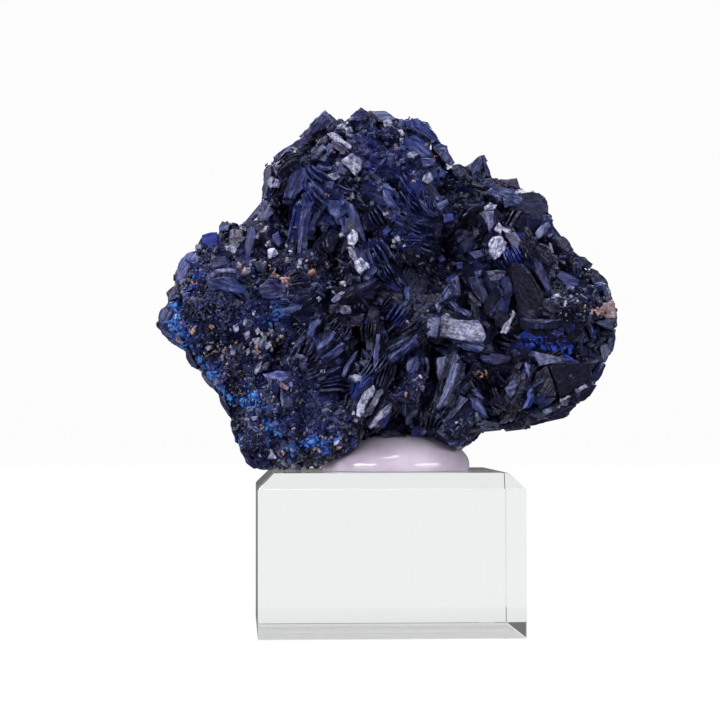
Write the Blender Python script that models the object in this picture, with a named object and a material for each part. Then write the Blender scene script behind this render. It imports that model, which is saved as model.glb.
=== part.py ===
"""Azurite specimen held by a dome of glue on a clear acrylic display block.

The origin is the centre of the block's bottom face. +Z is up, +X is the specimen's right as it is shown, and the
side that is shown faces -Y. Lengths are in metres, written as millimetres times MM, or in millimetres where a
table says so.
"""

import math
import random
from collections import namedtuple

import bmesh
import bpy
from mathutils import Matrix, Vector
from mathutils.geometry import intersect_point_line

MM = 0.001
FIT_GAP = 0.35 * MM  # clearance between pieces that touch in the real object

# Clear block, square in plan, with one chamfer round the top
BLOCK_SIDE = 38.0 * MM
BLOCK_HEIGHT = 23.4 * MM
BLOCK_CHAMFER = 2.3 * MM

# Glue dome, spread out under the specimen's weight
GLUE_CENTRE = Vector((1.6, -1.0, 0.0)) * MM
GLUE_RADIUS = 11.0 * MM
GLUE_HEIGHT = 4.8 * MM
GLUE_FOOT_SHARE = 0.96  # the glue curls in a little where it meets the block
GLUE_BULGE_SHARE = 0.14  # height of its widest level
GLUE_STEPS = 5
GLUE_SIDES = 28
GLUE_SHARP_ANGLE = math.radians(40.0)

# Underside of the specimen: nothing of it reaches below this level
SPECIMEN_FLOOR = BLOCK_HEIGHT + FIT_GAP
CUTTER_REACH = 120.0 * MM

SEED = 11
GOLDEN_ANGLE = math.pi * (3.0 - math.sqrt(5.0))
CORE_ROUGHNESS = 0.05  # how far a core facet's corners move in and out, as a share of the radius
CORE_DETAIL = 2
SITES_TRIED = 260  # points tried on each lobe
COVERED_MARGIN = 0.97  # a point this deep in another lobe, as a share of its radius, counts as covered

# One lobe of the core, which is one mass: centre and radii in millimetres, and the habit that grows on it
Lobe = namedtuple("Lobe", "name centre radii habit")
LOBES = (
    Lobe("crown", (-3.0, 1.5, 62.8), (11.6, 12.0, 12.0), "blocky"),
    Lobe("crown_left", (-11.2, 0.5, 64.0), (5.4, 8.5, 6.4), "blocky"),
    Lobe("crown_base", (2.6, 0.0, 59.0), (9.0, 13.5, 7.5), "fan"),
    Lobe("saddle", (-15.6, 0.5, 56.6), (6.2, 9.5, 6.0), "blocky"),
    Lobe("middle", (0.0, 1.0, 49.0), (15.5, 15.5, 12.5), "fan"),
    Lobe("left_middle", (-11.5, -1.0, 49.4), (8.0, 13.6, 9.0), "grain"),
    Lobe("left", (-20.5, 0.0, 48.2), (10.4, 12.5, 9.9), "grain"),
    Lobe("left_tip", (-27.6, 0.0, 45.2), (5.0, 7.0, 4.8), "grain"),
    Lobe("left_waist", (-20.2, -0.5, 39.6), (6.6, 10.5, 6.0), "grain"),
    Lobe("left_foot", (-15.2, -1.5, 32.6), (7.4, 11.0, 9.0), "grain"),
    Lobe("foot_inner", (-9.3, -4.5, 30.8), (6.8, 9.2, 7.0), "grain"),
    Lobe("low_left_middle", (-10.4, -0.6, 39.6), (8.0, 12.8, 7.5), "fan"),
    Lobe("low_middle", (-2.0, 1.0, 37.5), (11.5, 14.0, 9.6), "fan"),
    Lobe("low_right", (9.4, 1.0, 35.3), (9.0, 12.0, 7.8), "plate"),
    Lobe("shoulder", (14.0, 1.0, 57.2), (9.8, 12.0, 9.2), "blocky"),
    Lobe("right", (21.4, 0.5, 47.2), (11.0, 14.0, 9.6), "plate"),
    Lobe("right_low", (20.6, 0.5, 39.2), (10.4, 12.5, 8.4), "plate"),
)

# A crystal habit. Lengths are (least, most) in millimetres: spacing is between neighbours, proud is what stands out
# of the core. lean is the most that a crystal tilts, and splay the angle within a pair, in degrees. paired is the
# share of crystals that grow as a pair.
Habit = namedtuple("Habit", "spacing length width thickness proud lean paired splay outline")
HABITS = {
    "blocky": Habit(5.0, (6.0, 8.0), (3.6, 5.4), (2.4, 3.8), (1.2, 2.6), 26, 0.0, 0, "gable"),
    "fan": Habit(5.6, (7.0, 9.5), (4.2, 6.0), (1.5, 2.2), (1.6, 3.2), 46, 0.4, 18, "chisel"),
    "plate": Habit(6.3, (8.0, 11.0), (5.0, 7.4), (1.8, 2.8), (1.4, 3.0), 48, 0.25, 14, "tablet"),
    "grain": Habit(4.9, (4.5, 6.0), (3.6, 5.2), (2.4, 3.8), (0.7, 1.5), 24, 0.0, 0, "gable"),
}
OWN_OUTLINE_SHARE = 0.7  # share of crystals that keep their habit's own outline
NAMED_CLEARANCE = 3.2  # millimetres from a named crystal within which no other one starts
FRONT_SPACING = 0.88  # crystals stand closer on the side that is shown
BACK_SPACING = 1.3  # and wider apart on the side that faces away
FACING_SHARE = 0.35  # share of Y in the outward direction from which a place belongs to one of those sides

# Outlines of a crystal's broad face, as shares of its width (across) and length (along), root first
OUTLINES = {
    "gable": ((-0.5, 0.0), (0.5, 0.0), (0.5, 0.78), (0.08, 1.0), (-0.5, 0.7)),
    "chisel": ((-0.5, 0.0), (0.5, 0.0), (0.46, 0.86), (-0.14, 1.0), (-0.5, 0.8)),
    "tablet": ((-0.44, 0.0), (0.44, 0.0), (0.5, 0.8), (0.24, 1.0), (-0.3, 0.97), (-0.5, 0.72)),
}
BEVEL_SHARE = 0.8  # a crystal's outer broad face against its inner one

# A crystal that shows on the outline, by its tip seen from the front (x, z), in millimetres. depth is the tip's y,
# heading is the way that it grows, in degrees from +X, and turn rolls its broad face away from facing the front.
Peak = namedtuple("Peak", "name tip depth heading turn length width thickness outline")
PEAKS = (
    Peak("crown_left_peak", (-9.0, 77.4), 0.0, 96, 15, 9.0, 4.6, 3.2, "gable"),
    Peak("crown_middle_peak", (-3.3, 77.8), -1.0, 88, -12, 9.0, 5.0, 3.4, "gable"),
    Peak("crown_flat", (1.0, 77.2), 2.0, 84, 20, 8.0, 5.0, 3.0, "tablet"),
    Peak("crown_right", (5.4, 76.5), 0.0, 76, 8, 9.0, 6.0, 4.2, "tablet"),
    Peak("crown_right_edge", (9.2, 72.2), 1.0, 46, 20, 7.0, 4.4, 3.0, "gable"),
    Peak("crown_left_corner", (-13.4, 72.9), 0.0, 122, -18, 8.0, 5.0, 3.0, "tablet"),
    Peak("crown_side", (-18.1, 68.8), -1.0, 156, 10, 8.0, 5.6, 3.4, "tablet"),
    Peak("crown_side_low", (-18.6, 64.0), 0.0, 178, -20, 7.5, 5.0, 3.0, "tablet"),
    Peak("left_step", (-19.6, 61.2), -1.0, 104, 22, 7.0, 4.4, 3.0, "tablet"),
    Peak("left_peak", (-23.6, 61.2), -1.0, 100, -10, 8.0, 4.0, 3.0, "gable"),
    Peak("left_block", (-27.2, 58.9), 0.0, 122, 12, 8.0, 4.2, 3.2, "tablet"),
    Peak("left_shoulder", (-30.2, 55.8), 0.0, 136, 30, 7.5, 4.4, 3.0, "gable"),
    Peak("left_point", (-34.0, 45.2), 0.0, 188, 24, 8.0, 5.4, 4.0, "gable"),
    Peak("left_point_upper", (-32.4, 49.6), 0.0, 160, -15, 7.0, 4.8, 3.2, "gable"),
    Peak("left_lower", (-29.0, 38.8), 0.0, 222, 18, 7.0, 4.4, 3.0, "gable"),
    Peak("shoulder_notch", (11.2, 69.4), 1.0, 66, 14, 7.0, 4.0, 3.0, "chisel"),
    Peak("shoulder_peak", (14.6, 70.8), -1.0, 84, 10, 9.0, 4.8, 3.4, "gable"),
    Peak("shoulder_slab", (19.2, 67.2), 0.0, 76, 6, 8.0, 4.8, 3.0, "tablet"),
    Peak("shoulder_round", (23.6, 64.4), -2.0, 50, 14, 9.0, 6.0, 4.0, "tablet"),
    Peak("shoulder_corner", (25.5, 60.4), -1.0, 32, -12, 7.0, 4.2, 3.0, "chisel"),
    Peak("right_slope", (29.6, 55.8), 0.0, 46, 20, 8.0, 4.8, 3.2, "tablet"),
    Peak("right_upper", (33.4, 51.4), 0.0, 26, -16, 8.0, 4.6, 3.2, "chisel"),
    Peak("right_point", (35.2, 47.2), -1.0, 8, 14, 8.5, 5.6, 3.6, "tablet"),
    Peak("right_edge", (34.7, 42.4), 0.0, -8, -20, 8.0, 5.0, 3.4, "tablet"),
    Peak("right_lower", (31.6, 35.6), 0.0, -32, 16, 8.5, 5.4, 3.4, "tablet"),
    Peak("right_bottom", (26.6, 31.4), 0.0, -62, -14, 8.0, 5.4, 3.4, "tablet"),
    Peak("right_keel", (19.6, 29.1), 0.0, -88, 12, 8.0, 6.0, 3.4, "tablet"),
    Peak("centre_keel", (12.4, 26.8), 1.0, -80, -18, 8.0, 4.8, 3.2, "chisel"),
    Peak("foot_left", (-20.6, 24.8), -2.0, 236, 14, 8.0, 4.6, 3.4, "gable"),
)

# A crystal on the front, by the middle of its shown face (x, z). heading and turn are as above, and lift is how far
# its middle stands out of the core.
Front = namedtuple("Front", "name middle heading turn length width thickness lift outline")
FRONTS = (
    Front("pale_plate", (10.2, 44.4), -16, 14, 11.5, 5.6, 1.8, 1.6, "tablet"),
    Front("plate_below", (13.5, 41.0), -8, 62, 10.0, 3.6, 1.4, 1.3, "tablet"),
    Front("pale_block", (16.6, 57.2), 62, 18, 4.6, 3.8, 2.4, 1.3, "gable"),
    Front("long_blade_upper", (8.9, 36.4), 72, 36, 9.0, 3.2, 1.5, 1.6, "chisel"),
    Front("long_blade_lower", (11.4, 31.8), 58, 40, 8.0, 3.0, 1.5, 1.3, "chisel"),
    Front("book_left", (-3.8, 34.0), 66, 30, 7.5, 3.0, 1.5, 1.6, "tablet"),
    Front("book_right", (-0.4, 33.0), 62, 38, 7.5, 2.8, 1.4, 1.5, "tablet"),
    Front("pale_column_top", (-4.8, 58.4), -78, 22, 5.0, 2.6, 2.2, 1.4, "tablet"),
    Front("pale_column_foot", (-3.0, 53.6), -66, 20, 4.6, 3.0, 2.2, 1.4, "tablet"),
    Front("fan_left_blade", (-12.8, 58.4), 80, 58, 9.0, 4.0, 1.4, 1.8, "chisel"),
    Front("fan_left_face", (-13.6, 67.0), 70, 16, 7.0, 4.6, 1.8, 1.3, "chisel"),
    Front("fan_middle_face", (-8.6, 62.0), 84, 12, 6.5, 5.0, 1.8, 1.3, "chisel"),
    Front("sheaf_one", (-1.4, 63.6), -40, 48, 6.5, 3.6, 1.5, 1.4, "chisel"),
    Front("sheaf_two", (5.2, 63.0), -54, 44, 8.0, 3.8, 1.5, 1.5, "chisel"),
    Front("sheaf_three", (2.4, 56.4), -72, 46, 7.5, 3.6, 1.5, 1.5, "chisel"),
    Front("tall_slab", (19.6, 52.5), -66, 30, 11.0, 5.6, 1.9, 1.6, "tablet"),
    Front("tall_slab_left", (14.0, 50.6), -60, 40, 9.0, 4.6, 1.7, 1.4, "tablet"),
    Front("tall_slab_right", (25.0, 54.4), -56, 40, 9.0, 4.8, 1.7, 1.4, "tablet"),
    Front("level_slab", (24.6, 46.6), 2, 52, 11.0, 4.2, 1.5, 1.5, "tablet"),
    Front("low_slab", (26.0, 36.8), -34, 22, 9.5, 6.0, 1.9, 1.2, "tablet"),
    Front("low_slab_left", (19.4, 36.0), 66, 40, 8.0, 4.2, 1.6, 1.3, "tablet"),
    Front("leaning_blade", (3.8, 49.6), 44, 50, 8.5, 3.4, 1.3, 1.5, "chisel"),
    Front("leaning_blade_low", (2.6, 41.6), 40, 50, 9.0, 3.4, 1.3, 1.5, "chisel"),
    Front("upright_blade", (-2.0, 43.4), 88, 56, 8.0, 3.2, 1.3, 1.5, "chisel"),
    Front("sheaf_low", (-8.0, 42.0), 56, 40, 8.0, 3.8, 1.5, 1.4, "chisel"),
    Front("flat_sheaf", (-11.4, 47.4), 6, 50, 8.0, 3.6, 1.4, 1.3, "chisel"),
)


def clear_scene():
    for obj in list(bpy.data.objects):
        bpy.data.objects.remove(obj, do_unlink=True)


def millimetres(values):
    return Vector(values) * MM


def add_object(name, bm, collection=None):
    """A new object holding bm's mesh, which is freed."""
    mesh = bpy.data.meshes.new(name)
    bmesh.ops.recalc_face_normals(bm, faces=bm.faces)
    bm.to_mesh(mesh)
    bm.free()
    obj = bpy.data.objects.new(name, mesh)
    (collection or bpy.context.scene.collection).objects.link(obj)
    return obj


def add_material(obj, name, colour, roughness, transmission=0.0, ior=1.5):
    material = bpy.data.materials.new(name)
    material.use_nodes = True
    shader = material.node_tree.nodes["Principled BSDF"]
    shader.inputs["Base Color"].default_value = (*colour, 1.0)
    shader.inputs["Roughness"].default_value = roughness
    shader.inputs["Metallic"].default_value = 0.0
    shader.inputs["Transmission Weight"].default_value = transmission
    shader.inputs["IOR"].default_value = ior
    obj.data.materials.clear()
    obj.data.materials.append(material)


def helper_collection(name):
    """A collection for shapes that a Boolean reads and no render shows."""
    collection = bpy.data.collections.new(name)
    bpy.context.scene.collection.children.link(collection)
    return collection


def boolean(obj, name, operation, collection):
    modifier = obj.modifiers.new(name, "BOOLEAN")
    modifier.operation = operation
    modifier.operand_type = "COLLECTION"
    modifier.collection = collection
    modifier.solver = "EXACT"
    for helper in collection.objects:
        helper.hide_render = True
        helper.display_type = "WIRE"


def clear_block():
    """The display block: a box whose top face is inset and raised, which leaves the chamfer."""
    bm = bmesh.new()
    bmesh.ops.create_cube(bm, size=BLOCK_SIDE)
    for vert in bm.verts:
        vert.co.z = BLOCK_HEIGHT - BLOCK_CHAMFER if vert.co.z > 0 else 0.0
    top = max(bm.faces, key=lambda face: face.calc_center_median().z)
    bmesh.ops.inset_region(bm, faces=[top], thickness=BLOCK_CHAMFER, depth=0.0)
    for vert in top.verts:
        vert.co.z = BLOCK_HEIGHT
    block = add_object("clear_block", bm)
    add_material(block, "clear acrylic", (0.95, 0.97, 0.96), 0.02, transmission=1.0, ior=1.49)


def glue_profile(grow):
    """Radius and height of the dome's outline from foot to crown, each moved out by grow."""
    bulge = GLUE_HEIGHT * GLUE_BULGE_SHARE
    points = [(GLUE_RADIUS * GLUE_FOOT_SHARE + grow, -grow)]
    for step in range(GLUE_STEPS):
        angle = 0.5 * math.pi * step / GLUE_STEPS
        radius = (GLUE_RADIUS + grow) * math.cos(angle)
        height = bulge + (GLUE_HEIGHT - bulge + grow) * math.sin(angle)
        points.append((radius, height))
    points.append((0.0, GLUE_HEIGHT + grow))
    return points


def glue_dome(name, grow=0.0, collection=None):
    """The turned dome. grow makes the larger copy that leaves room for it in the specimen."""
    bm = bmesh.new()
    base = GLUE_CENTRE + Vector((0.0, 0.0, BLOCK_HEIGHT + FIT_GAP))
    line = [bm.verts.new(base + Vector((radius, 0.0, height))) for radius, height in glue_profile(grow)]
    edges = [bm.edges.new(pair) for pair in zip(line, line[1:])]
    bmesh.ops.spin(
        bm,
        geom=line + edges,
        cent=base,
        axis=(0.0, 0.0, 1.0),
        angle=2.0 * math.pi,
        steps=GLUE_SIDES,
        use_merge=True,
    )
    bmesh.ops.remove_doubles(bm, verts=bm.verts, dist=0.01 * MM)
    rim = [edge for edge in bm.edges if edge.is_boundary]
    bmesh.ops.contextual_create(bm, geom=rim)
    return add_object(name, bm, collection)


def mounting_glue():
    glue = glue_dome("mounting_glue")
    add_material(glue, "white glue", (0.72, 0.68, 0.76), 0.12)
    glue.data.shade_smooth()
    glue.data.set_sharp_from_angle(angle=GLUE_SHARP_ANGLE)


def lobe_object(lobe, collection):
    """One lobe of the core: a faceted ball, scaled to its radii, whose corners move in and out a little."""
    rng = random.Random(f"{SEED} {lobe.name}")
    bm = bmesh.new()
    bmesh.ops.create_icosphere(bm, subdivisions=CORE_DETAIL, radius=1.0)
    for vert in bm.verts:
        reach = 1.0 + rng.uniform(-CORE_ROUGHNESS, CORE_ROUGHNESS)
        vert.co = millimetres([c + r * n * reach for c, r, n in zip(lobe.centre, lobe.radii, vert.co)])
    return add_object("lobe_" + lobe.name, bm, collection)


def crystal(name, root, along, face, size, outline, collection):
    """A tabular crystal of size (length, width, thickness) in millimetres.

    It grows from root along a direction, and face is the direction that its outer broad face looks in.
    """
    length, width, thickness = millimetres(size)
    along = along.normalized()
    across = along.cross(face).normalized()
    normal = across.cross(along)
    bm = bmesh.new()
    ring = [
        bm.verts.new(root + across * (u * width) + along * (v * length) - normal * (thickness / 2))
        for u, v in OUTLINES[outline]
    ]
    broad_face = bm.faces.new(ring)
    made = bmesh.ops.extrude_face_region(bm, geom=[broad_face])["geom"]
    outer = [item for item in made if isinstance(item, bmesh.types.BMVert)]
    middle = sum((vert.co for vert in outer), Vector()) / len(outer)
    for vert in outer:
        vert.co = middle + (vert.co - middle) * BEVEL_SHARE + normal * thickness
    return add_object(name, bm, collection)


def picture_directions(heading, turn):
    """The growth direction in the plane seen from the front, and the outer broad face's direction."""
    angle = math.radians(heading)
    along = Vector((math.cos(angle), 0.0, math.sin(angle)))
    face = Vector((0.0, -1.0, 0.0))
    face.rotate(Matrix.Rotation(math.radians(turn), 3, along))
    return along, face


def front_of_core(x, z):
    """The least y of the core at (x, z), in millimetres, or zero outside its outline."""
    found = []
    for lobe in LOBES:
        (cx, cy, cz), (rx, ry, rz) = lobe.centre, lobe.radii
        left = 1.0 - ((x - cx) / rx) ** 2 - ((z - cz) / rz) ** 2
        if left > 0.0:
            found.append(cy - ry * math.sqrt(left))
    return min(found) if found else 0.0


def peak_line(peak):
    """The root and tip of a crystal on the outline, in metres."""
    along, _ = picture_directions(peak.heading, peak.turn)
    tip = millimetres((peak.tip[0], peak.depth, peak.tip[1]))
    return tip - along * peak.length * MM, tip


def front_line(front):
    """The root and tip of a crystal on the front, in metres."""
    along, _ = picture_directions(front.heading, front.turn)
    x, z = front.middle
    middle = millimetres((x, front_of_core(x, z) - front.lift, z))
    half = along * front.length * MM / 2
    return middle - half, middle + half


def named_lines():
    return [peak_line(peak) for peak in PEAKS] + [front_line(front) for front in FRONTS]


def grow_named(collection):
    """The crystals of the two tables."""
    for entry, (root, _) in zip(PEAKS + FRONTS, named_lines()):
        along, face = picture_directions(entry.heading, entry.turn)
        size = (entry.length, entry.width, entry.thickness)
        crystal(entry.name, root, along, face, size, entry.outline, collection)


def near_a_line(point, lines):
    """Whether a point lies within the clearance of a named crystal."""
    for root, tip in lines:
        closest, share = intersect_point_line(point, root, tip)
        if 0.0 <= share <= 1.0 and (closest - point).length < NAMED_CLEARANCE * MM:
            return True
    return False


def covered(point, own):
    """Whether a point in millimetres lies in a lobe other than its own."""
    for lobe in LOBES:
        if lobe is not own:
            depth = sum(
                ((p - c) / (r * COVERED_MARGIN)) ** 2 for p, c, r in zip(point, lobe.centre, lobe.radii)
            )
            if depth < 1.0:
                return True
    return False


def lobe_points(lobe):
    """Points spread evenly over a lobe in millimetres, each with the direction that looks out of it."""
    for index in range(SITES_TRIED):
        height = 1.0 - 2.0 * (index + 0.5) / SITES_TRIED
        round_share = math.sqrt(1.0 - height * height)
        turn = GOLDEN_ANGLE * index
        unit = (round_share * math.cos(turn), round_share * math.sin(turn), height)
        point = Vector([c + r * n for c, r, n in zip(lobe.centre, lobe.radii, unit)])
        outward = Vector([n / r for r, n in zip(lobe.radii, unit)]).normalized()
        yield point, outward


def growth_sites():
    """Open places on the core, no closer to each other than their habit's spacing."""
    lines = named_lines()
    taken = []
    for lobe in LOBES:
        for point, outward in lobe_points(lobe):
            spacing = HABITS[lobe.habit].spacing
            if abs(outward.y) > FACING_SHARE:
                spacing *= BACK_SPACING if outward.y > 0 else FRONT_SPACING
            crowded = any((point - other).length < spacing for other in taken)
            if not crowded and not covered(point, lobe) and not near_a_line(point * MM, lines):
                taken.append(point)
                yield lobe, point, outward


def leaning(direction, degrees, rng):
    """The direction, tilted by up to that many degrees to a random side."""
    side = direction.orthogonal().normalized()
    side.rotate(Matrix.Rotation(rng.uniform(0.0, 2.0 * math.pi), 3, direction))
    tilt = math.radians(degrees) * math.sqrt(rng.random())
    return (direction * math.cos(tilt) + side * math.sin(tilt)).normalized()


def grow_habits(collection):
    """Covers the core with crystals, alone or in splayed pairs, each in its lobe's habit."""
    rng = random.Random(SEED)
    for number, (lobe, point, outward) in enumerate(growth_sites()):
        habit = HABITS[lobe.habit]
        along = leaning(outward, habit.lean, rng)
        face = along.orthogonal().normalized()
        face.rotate(Matrix.Rotation(rng.uniform(0.0, 2.0 * math.pi), 3, along))
        across = along.cross(face).normalized()
        sides = (-0.5, 0.5) if rng.random() < habit.paired else (0.0,)
        for side in sides:
            size = [rng.uniform(*span) for span in (habit.length, habit.width, habit.thickness)]
            splay = Matrix.Rotation(math.radians(habit.splay) * side, 3, across)
            buried = size[0] - rng.uniform(*habit.proud)
            root = (point - along * buried + face * size[2] * side) * MM
            own = rng.random() < OWN_OUTLINE_SHARE
            outline = habit.outline if own else rng.choice(sorted(OUTLINES))
            name = f"crystal_{number}_{side:+.1f}"
            crystal(name, root, splay @ along, splay @ face, size, outline, collection)


def floor_cutter(collection):
    """A slab that takes off whatever would reach below the specimen's lowest level."""
    bm = bmesh.new()
    bmesh.ops.create_cube(bm, size=CUTTER_REACH)
    bmesh.ops.translate(bm, verts=bm.verts, vec=(0.0, 0.0, SPECIMEN_FLOOR - CUTTER_REACH / 2))
    add_object("floor_cutter", bm, collection)


def shells_of(bm):
    """The sets of vertices that edges join."""
    unseen = set(bm.verts)
    shells = []
    while unseen:
        start = unseen.pop()
        shell = {start}
        open_ends = [start]
        while open_ends:
            vert = open_ends.pop()
            for edge in vert.link_edges:
                other = edge.other_vert(vert)
                if other in unseen:
                    unseen.discard(other)
                    shell.add(other)
                    open_ends.append(other)
        shells.append(shell)
    return shells


def keep_outer_shell(obj):
    """Applies the modifiers and drops the closed pockets that crystals wall in, leaving one body."""
    graph = bpy.context.evaluated_depsgraph_get()
    mesh = bpy.data.meshes.new_from_object(obj.evaluated_get(graph))
    bm = bmesh.new()
    bm.from_mesh(mesh)
    outer = max(shells_of(bm), key=len)
    pockets = [vert for vert in bm.verts if vert not in outer]
    bmesh.ops.delete(bm, geom=pockets, context="VERTS")
    bm.to_mesh(mesh)
    bm.free()
    obj.modifiers.clear()
    obj.data = mesh


def azurite_cluster():
    """The specimen: lobes and crystals joined in one body, with room cut for the glue and the block."""
    growth = helper_collection("growth")
    cutters = helper_collection("cutters")
    cluster = lobe_object(LOBES[0], bpy.context.scene.collection)
    cluster.name = "azurite_cluster"
    for lobe in LOBES[1:]:
        lobe_object(lobe, growth)
    grow_habits(growth)
    grow_named(growth)
    glue_dome("glue_room", FIT_GAP, cutters)
    floor_cutter(cutters)
    boolean(cluster, "growth", "UNION", growth)
    boolean(cluster, "rooms", "DIFFERENCE", cutters)
    bpy.context.view_layer.update()
    keep_outer_shell(cluster)
    add_material(cluster, "azurite", (0.018, 0.024, 0.11), 0.3)


def main():
    clear_scene()
    clear_block()
    mounting_glue()
    azurite_cluster()


main()
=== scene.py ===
import math
import random
from collections import namedtuple

import bmesh
import bpy
import numpy as np
from mathutils import Matrix, Vector
from mathutils.bvhtree import BVHTree
from mathutils.kdtree import KDTree
from mathutils.noise import noise as noise_at


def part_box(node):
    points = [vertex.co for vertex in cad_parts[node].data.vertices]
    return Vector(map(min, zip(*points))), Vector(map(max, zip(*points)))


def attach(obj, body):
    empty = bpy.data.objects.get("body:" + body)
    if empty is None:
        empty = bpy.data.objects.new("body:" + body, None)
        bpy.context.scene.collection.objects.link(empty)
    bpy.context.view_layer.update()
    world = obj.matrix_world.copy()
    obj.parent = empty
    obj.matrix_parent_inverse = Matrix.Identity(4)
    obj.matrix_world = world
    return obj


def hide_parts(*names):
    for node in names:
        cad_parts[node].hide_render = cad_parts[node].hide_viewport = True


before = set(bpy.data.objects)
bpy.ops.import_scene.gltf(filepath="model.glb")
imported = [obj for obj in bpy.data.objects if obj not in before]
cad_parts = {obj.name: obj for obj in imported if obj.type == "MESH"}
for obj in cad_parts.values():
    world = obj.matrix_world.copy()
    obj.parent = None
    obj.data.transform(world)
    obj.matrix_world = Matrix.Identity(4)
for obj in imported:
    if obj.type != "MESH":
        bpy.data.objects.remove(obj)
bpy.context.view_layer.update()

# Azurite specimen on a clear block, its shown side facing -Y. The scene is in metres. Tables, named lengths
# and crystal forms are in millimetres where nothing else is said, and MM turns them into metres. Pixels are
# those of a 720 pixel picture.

MM = 0.001
SEED = 7

# Camera at the photograph's angle
CAMERA_PLACE = Vector((-21.83, -343.41, 31.82)) * MM
CAMERA_YAW = 0.0531
CAMERA_PITCH = 0.0233
CAMERA_ROLL = -0.001
FOCAL_PIXELS = 2302.5
PICTURE_PIXELS = 720
SENSOR_MM = 36.0

# Where each part of the mass grew from, in millimetres: crystals point away from the nearest centre
Centre = namedtuple("Centre", "name place reach habit")
CENTRES = (
    Centre("crown", (-3.0, 1.5, 62.8), 11.8, "block"),
    Centre("crown_left", (-11.2, 0.5, 64.0), 6.6, "block"),
    Centre("crown_base", (2.6, 0.0, 59.0), 10.0, "sheaf"),
    Centre("saddle", (-15.6, 0.5, 56.6), 7.2, "sheaf"),
    Centre("middle", (0.0, 1.0, 49.0), 14.5, "sheaf"),
    Centre("left_middle", (-11.5, -1.0, 49.4), 10.0, "sheaf"),
    Centre("left", (-20.5, 0.0, 48.2), 10.9, "grain"),
    Centre("left_tip", (-27.6, 0.0, 45.2), 5.6, "grain"),
    Centre("left_waist", (-20.2, -0.5, 39.6), 7.7, "grain"),
    Centre("left_foot", (-15.2, -1.5, 32.6), 9.1, "grain"),
    Centre("foot_inner", (-9.3, -4.5, 30.8), 7.7, "grain"),
    Centre("low_left_middle", (-10.4, -0.6, 39.6), 9.4, "sheaf"),
    Centre("low_middle", (-2.0, 1.0, 37.5), 11.7, "sheaf"),
    Centre("low_right", (9.4, 1.0, 35.3), 9.6, "slab"),
    Centre("shoulder", (14.0, 1.0, 57.2), 10.3, "block"),
    Centre("right", (21.4, 0.5, 47.2), 11.5, "slab"),
    Centre("right_low", (20.6, 0.5, 39.2), 10.4, "slab"),
)

# The specimen's outline in the picture, clockwise from its left tip
OUTLINE = (
    (156, 325), (158, 318), (160, 310), (163, 302), (165, 297), (171, 290), (175, 284), (173, 277),
    (175, 267), (180, 260), (187, 253), (192, 252), (193, 247), (200, 243), (201, 236), (208, 233),
    (218, 232), (219, 224), (222, 219), (230, 221), (239, 225), (243, 222), (258, 220), (260, 218),
    (261, 203), (263, 196), (263, 182), (264, 168), (266, 164), (273, 162), (275, 157), (284, 153),
    (291, 148), (300, 139), (305, 131), (309, 124), (314, 119), (319, 113), (325, 109), (330, 112),
    (335, 118), (348, 118), (353, 114), (358, 109), (361, 106), (365, 107), (370, 111), (386, 111),
    (390, 112), (396, 117), (400, 120), (409, 117), (419, 117), (424, 119), (430, 124), (436, 132),
    (442, 142), (447, 145), (448, 150), (452, 156), (456, 164), (464, 166), (470, 162), (478, 156),
    (482, 154), (486, 161), (490, 171), (492, 179), (500, 178), (516, 177), (519, 181), (521, 190),
    (530, 190), (541, 194), (547, 200), (549, 208), (548, 215), (552, 216), (553, 222), (552, 232),
    (554, 236), (562, 239), (569, 245), (575, 254), (584, 259), (591, 264), (592, 268), (597, 272),
    (601, 280), (606, 285), (612, 291), (611, 297), (615, 301), (617, 308), (617, 320), (616, 335),
    (614, 345), (610, 357), (603, 368), (598, 377), (594, 385), (592, 392), (587, 399), (580, 403),
    (573, 408), (569, 415), (563, 419), (552, 420), (544, 423), (534, 428), (520, 430), (512, 433),
    (503, 431), (493, 428), (487, 427), (484, 432), (479, 439), (472, 442), (466, 446), (459, 452),
    (450, 447), (440, 443), (430, 441), (418, 440), (404, 437), (396, 435), (388, 437), (380, 439),
    (374, 441), (362, 446), (350, 454), (338, 458), (325, 464), (315, 470), (305, 472), (292, 468),
    (282, 470), (268, 473), (258, 472), (251, 468), (246, 460), (242, 454), (238, 445), (235, 435),
    (231, 427), (230, 418), (230, 410), (225, 402), (219, 395), (217, 388), (208, 383), (202, 380),
    (201, 374), (193, 369), (187, 362), (186, 352), (180, 347), (170, 342), (164, 338), (158, 331),
)

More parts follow.
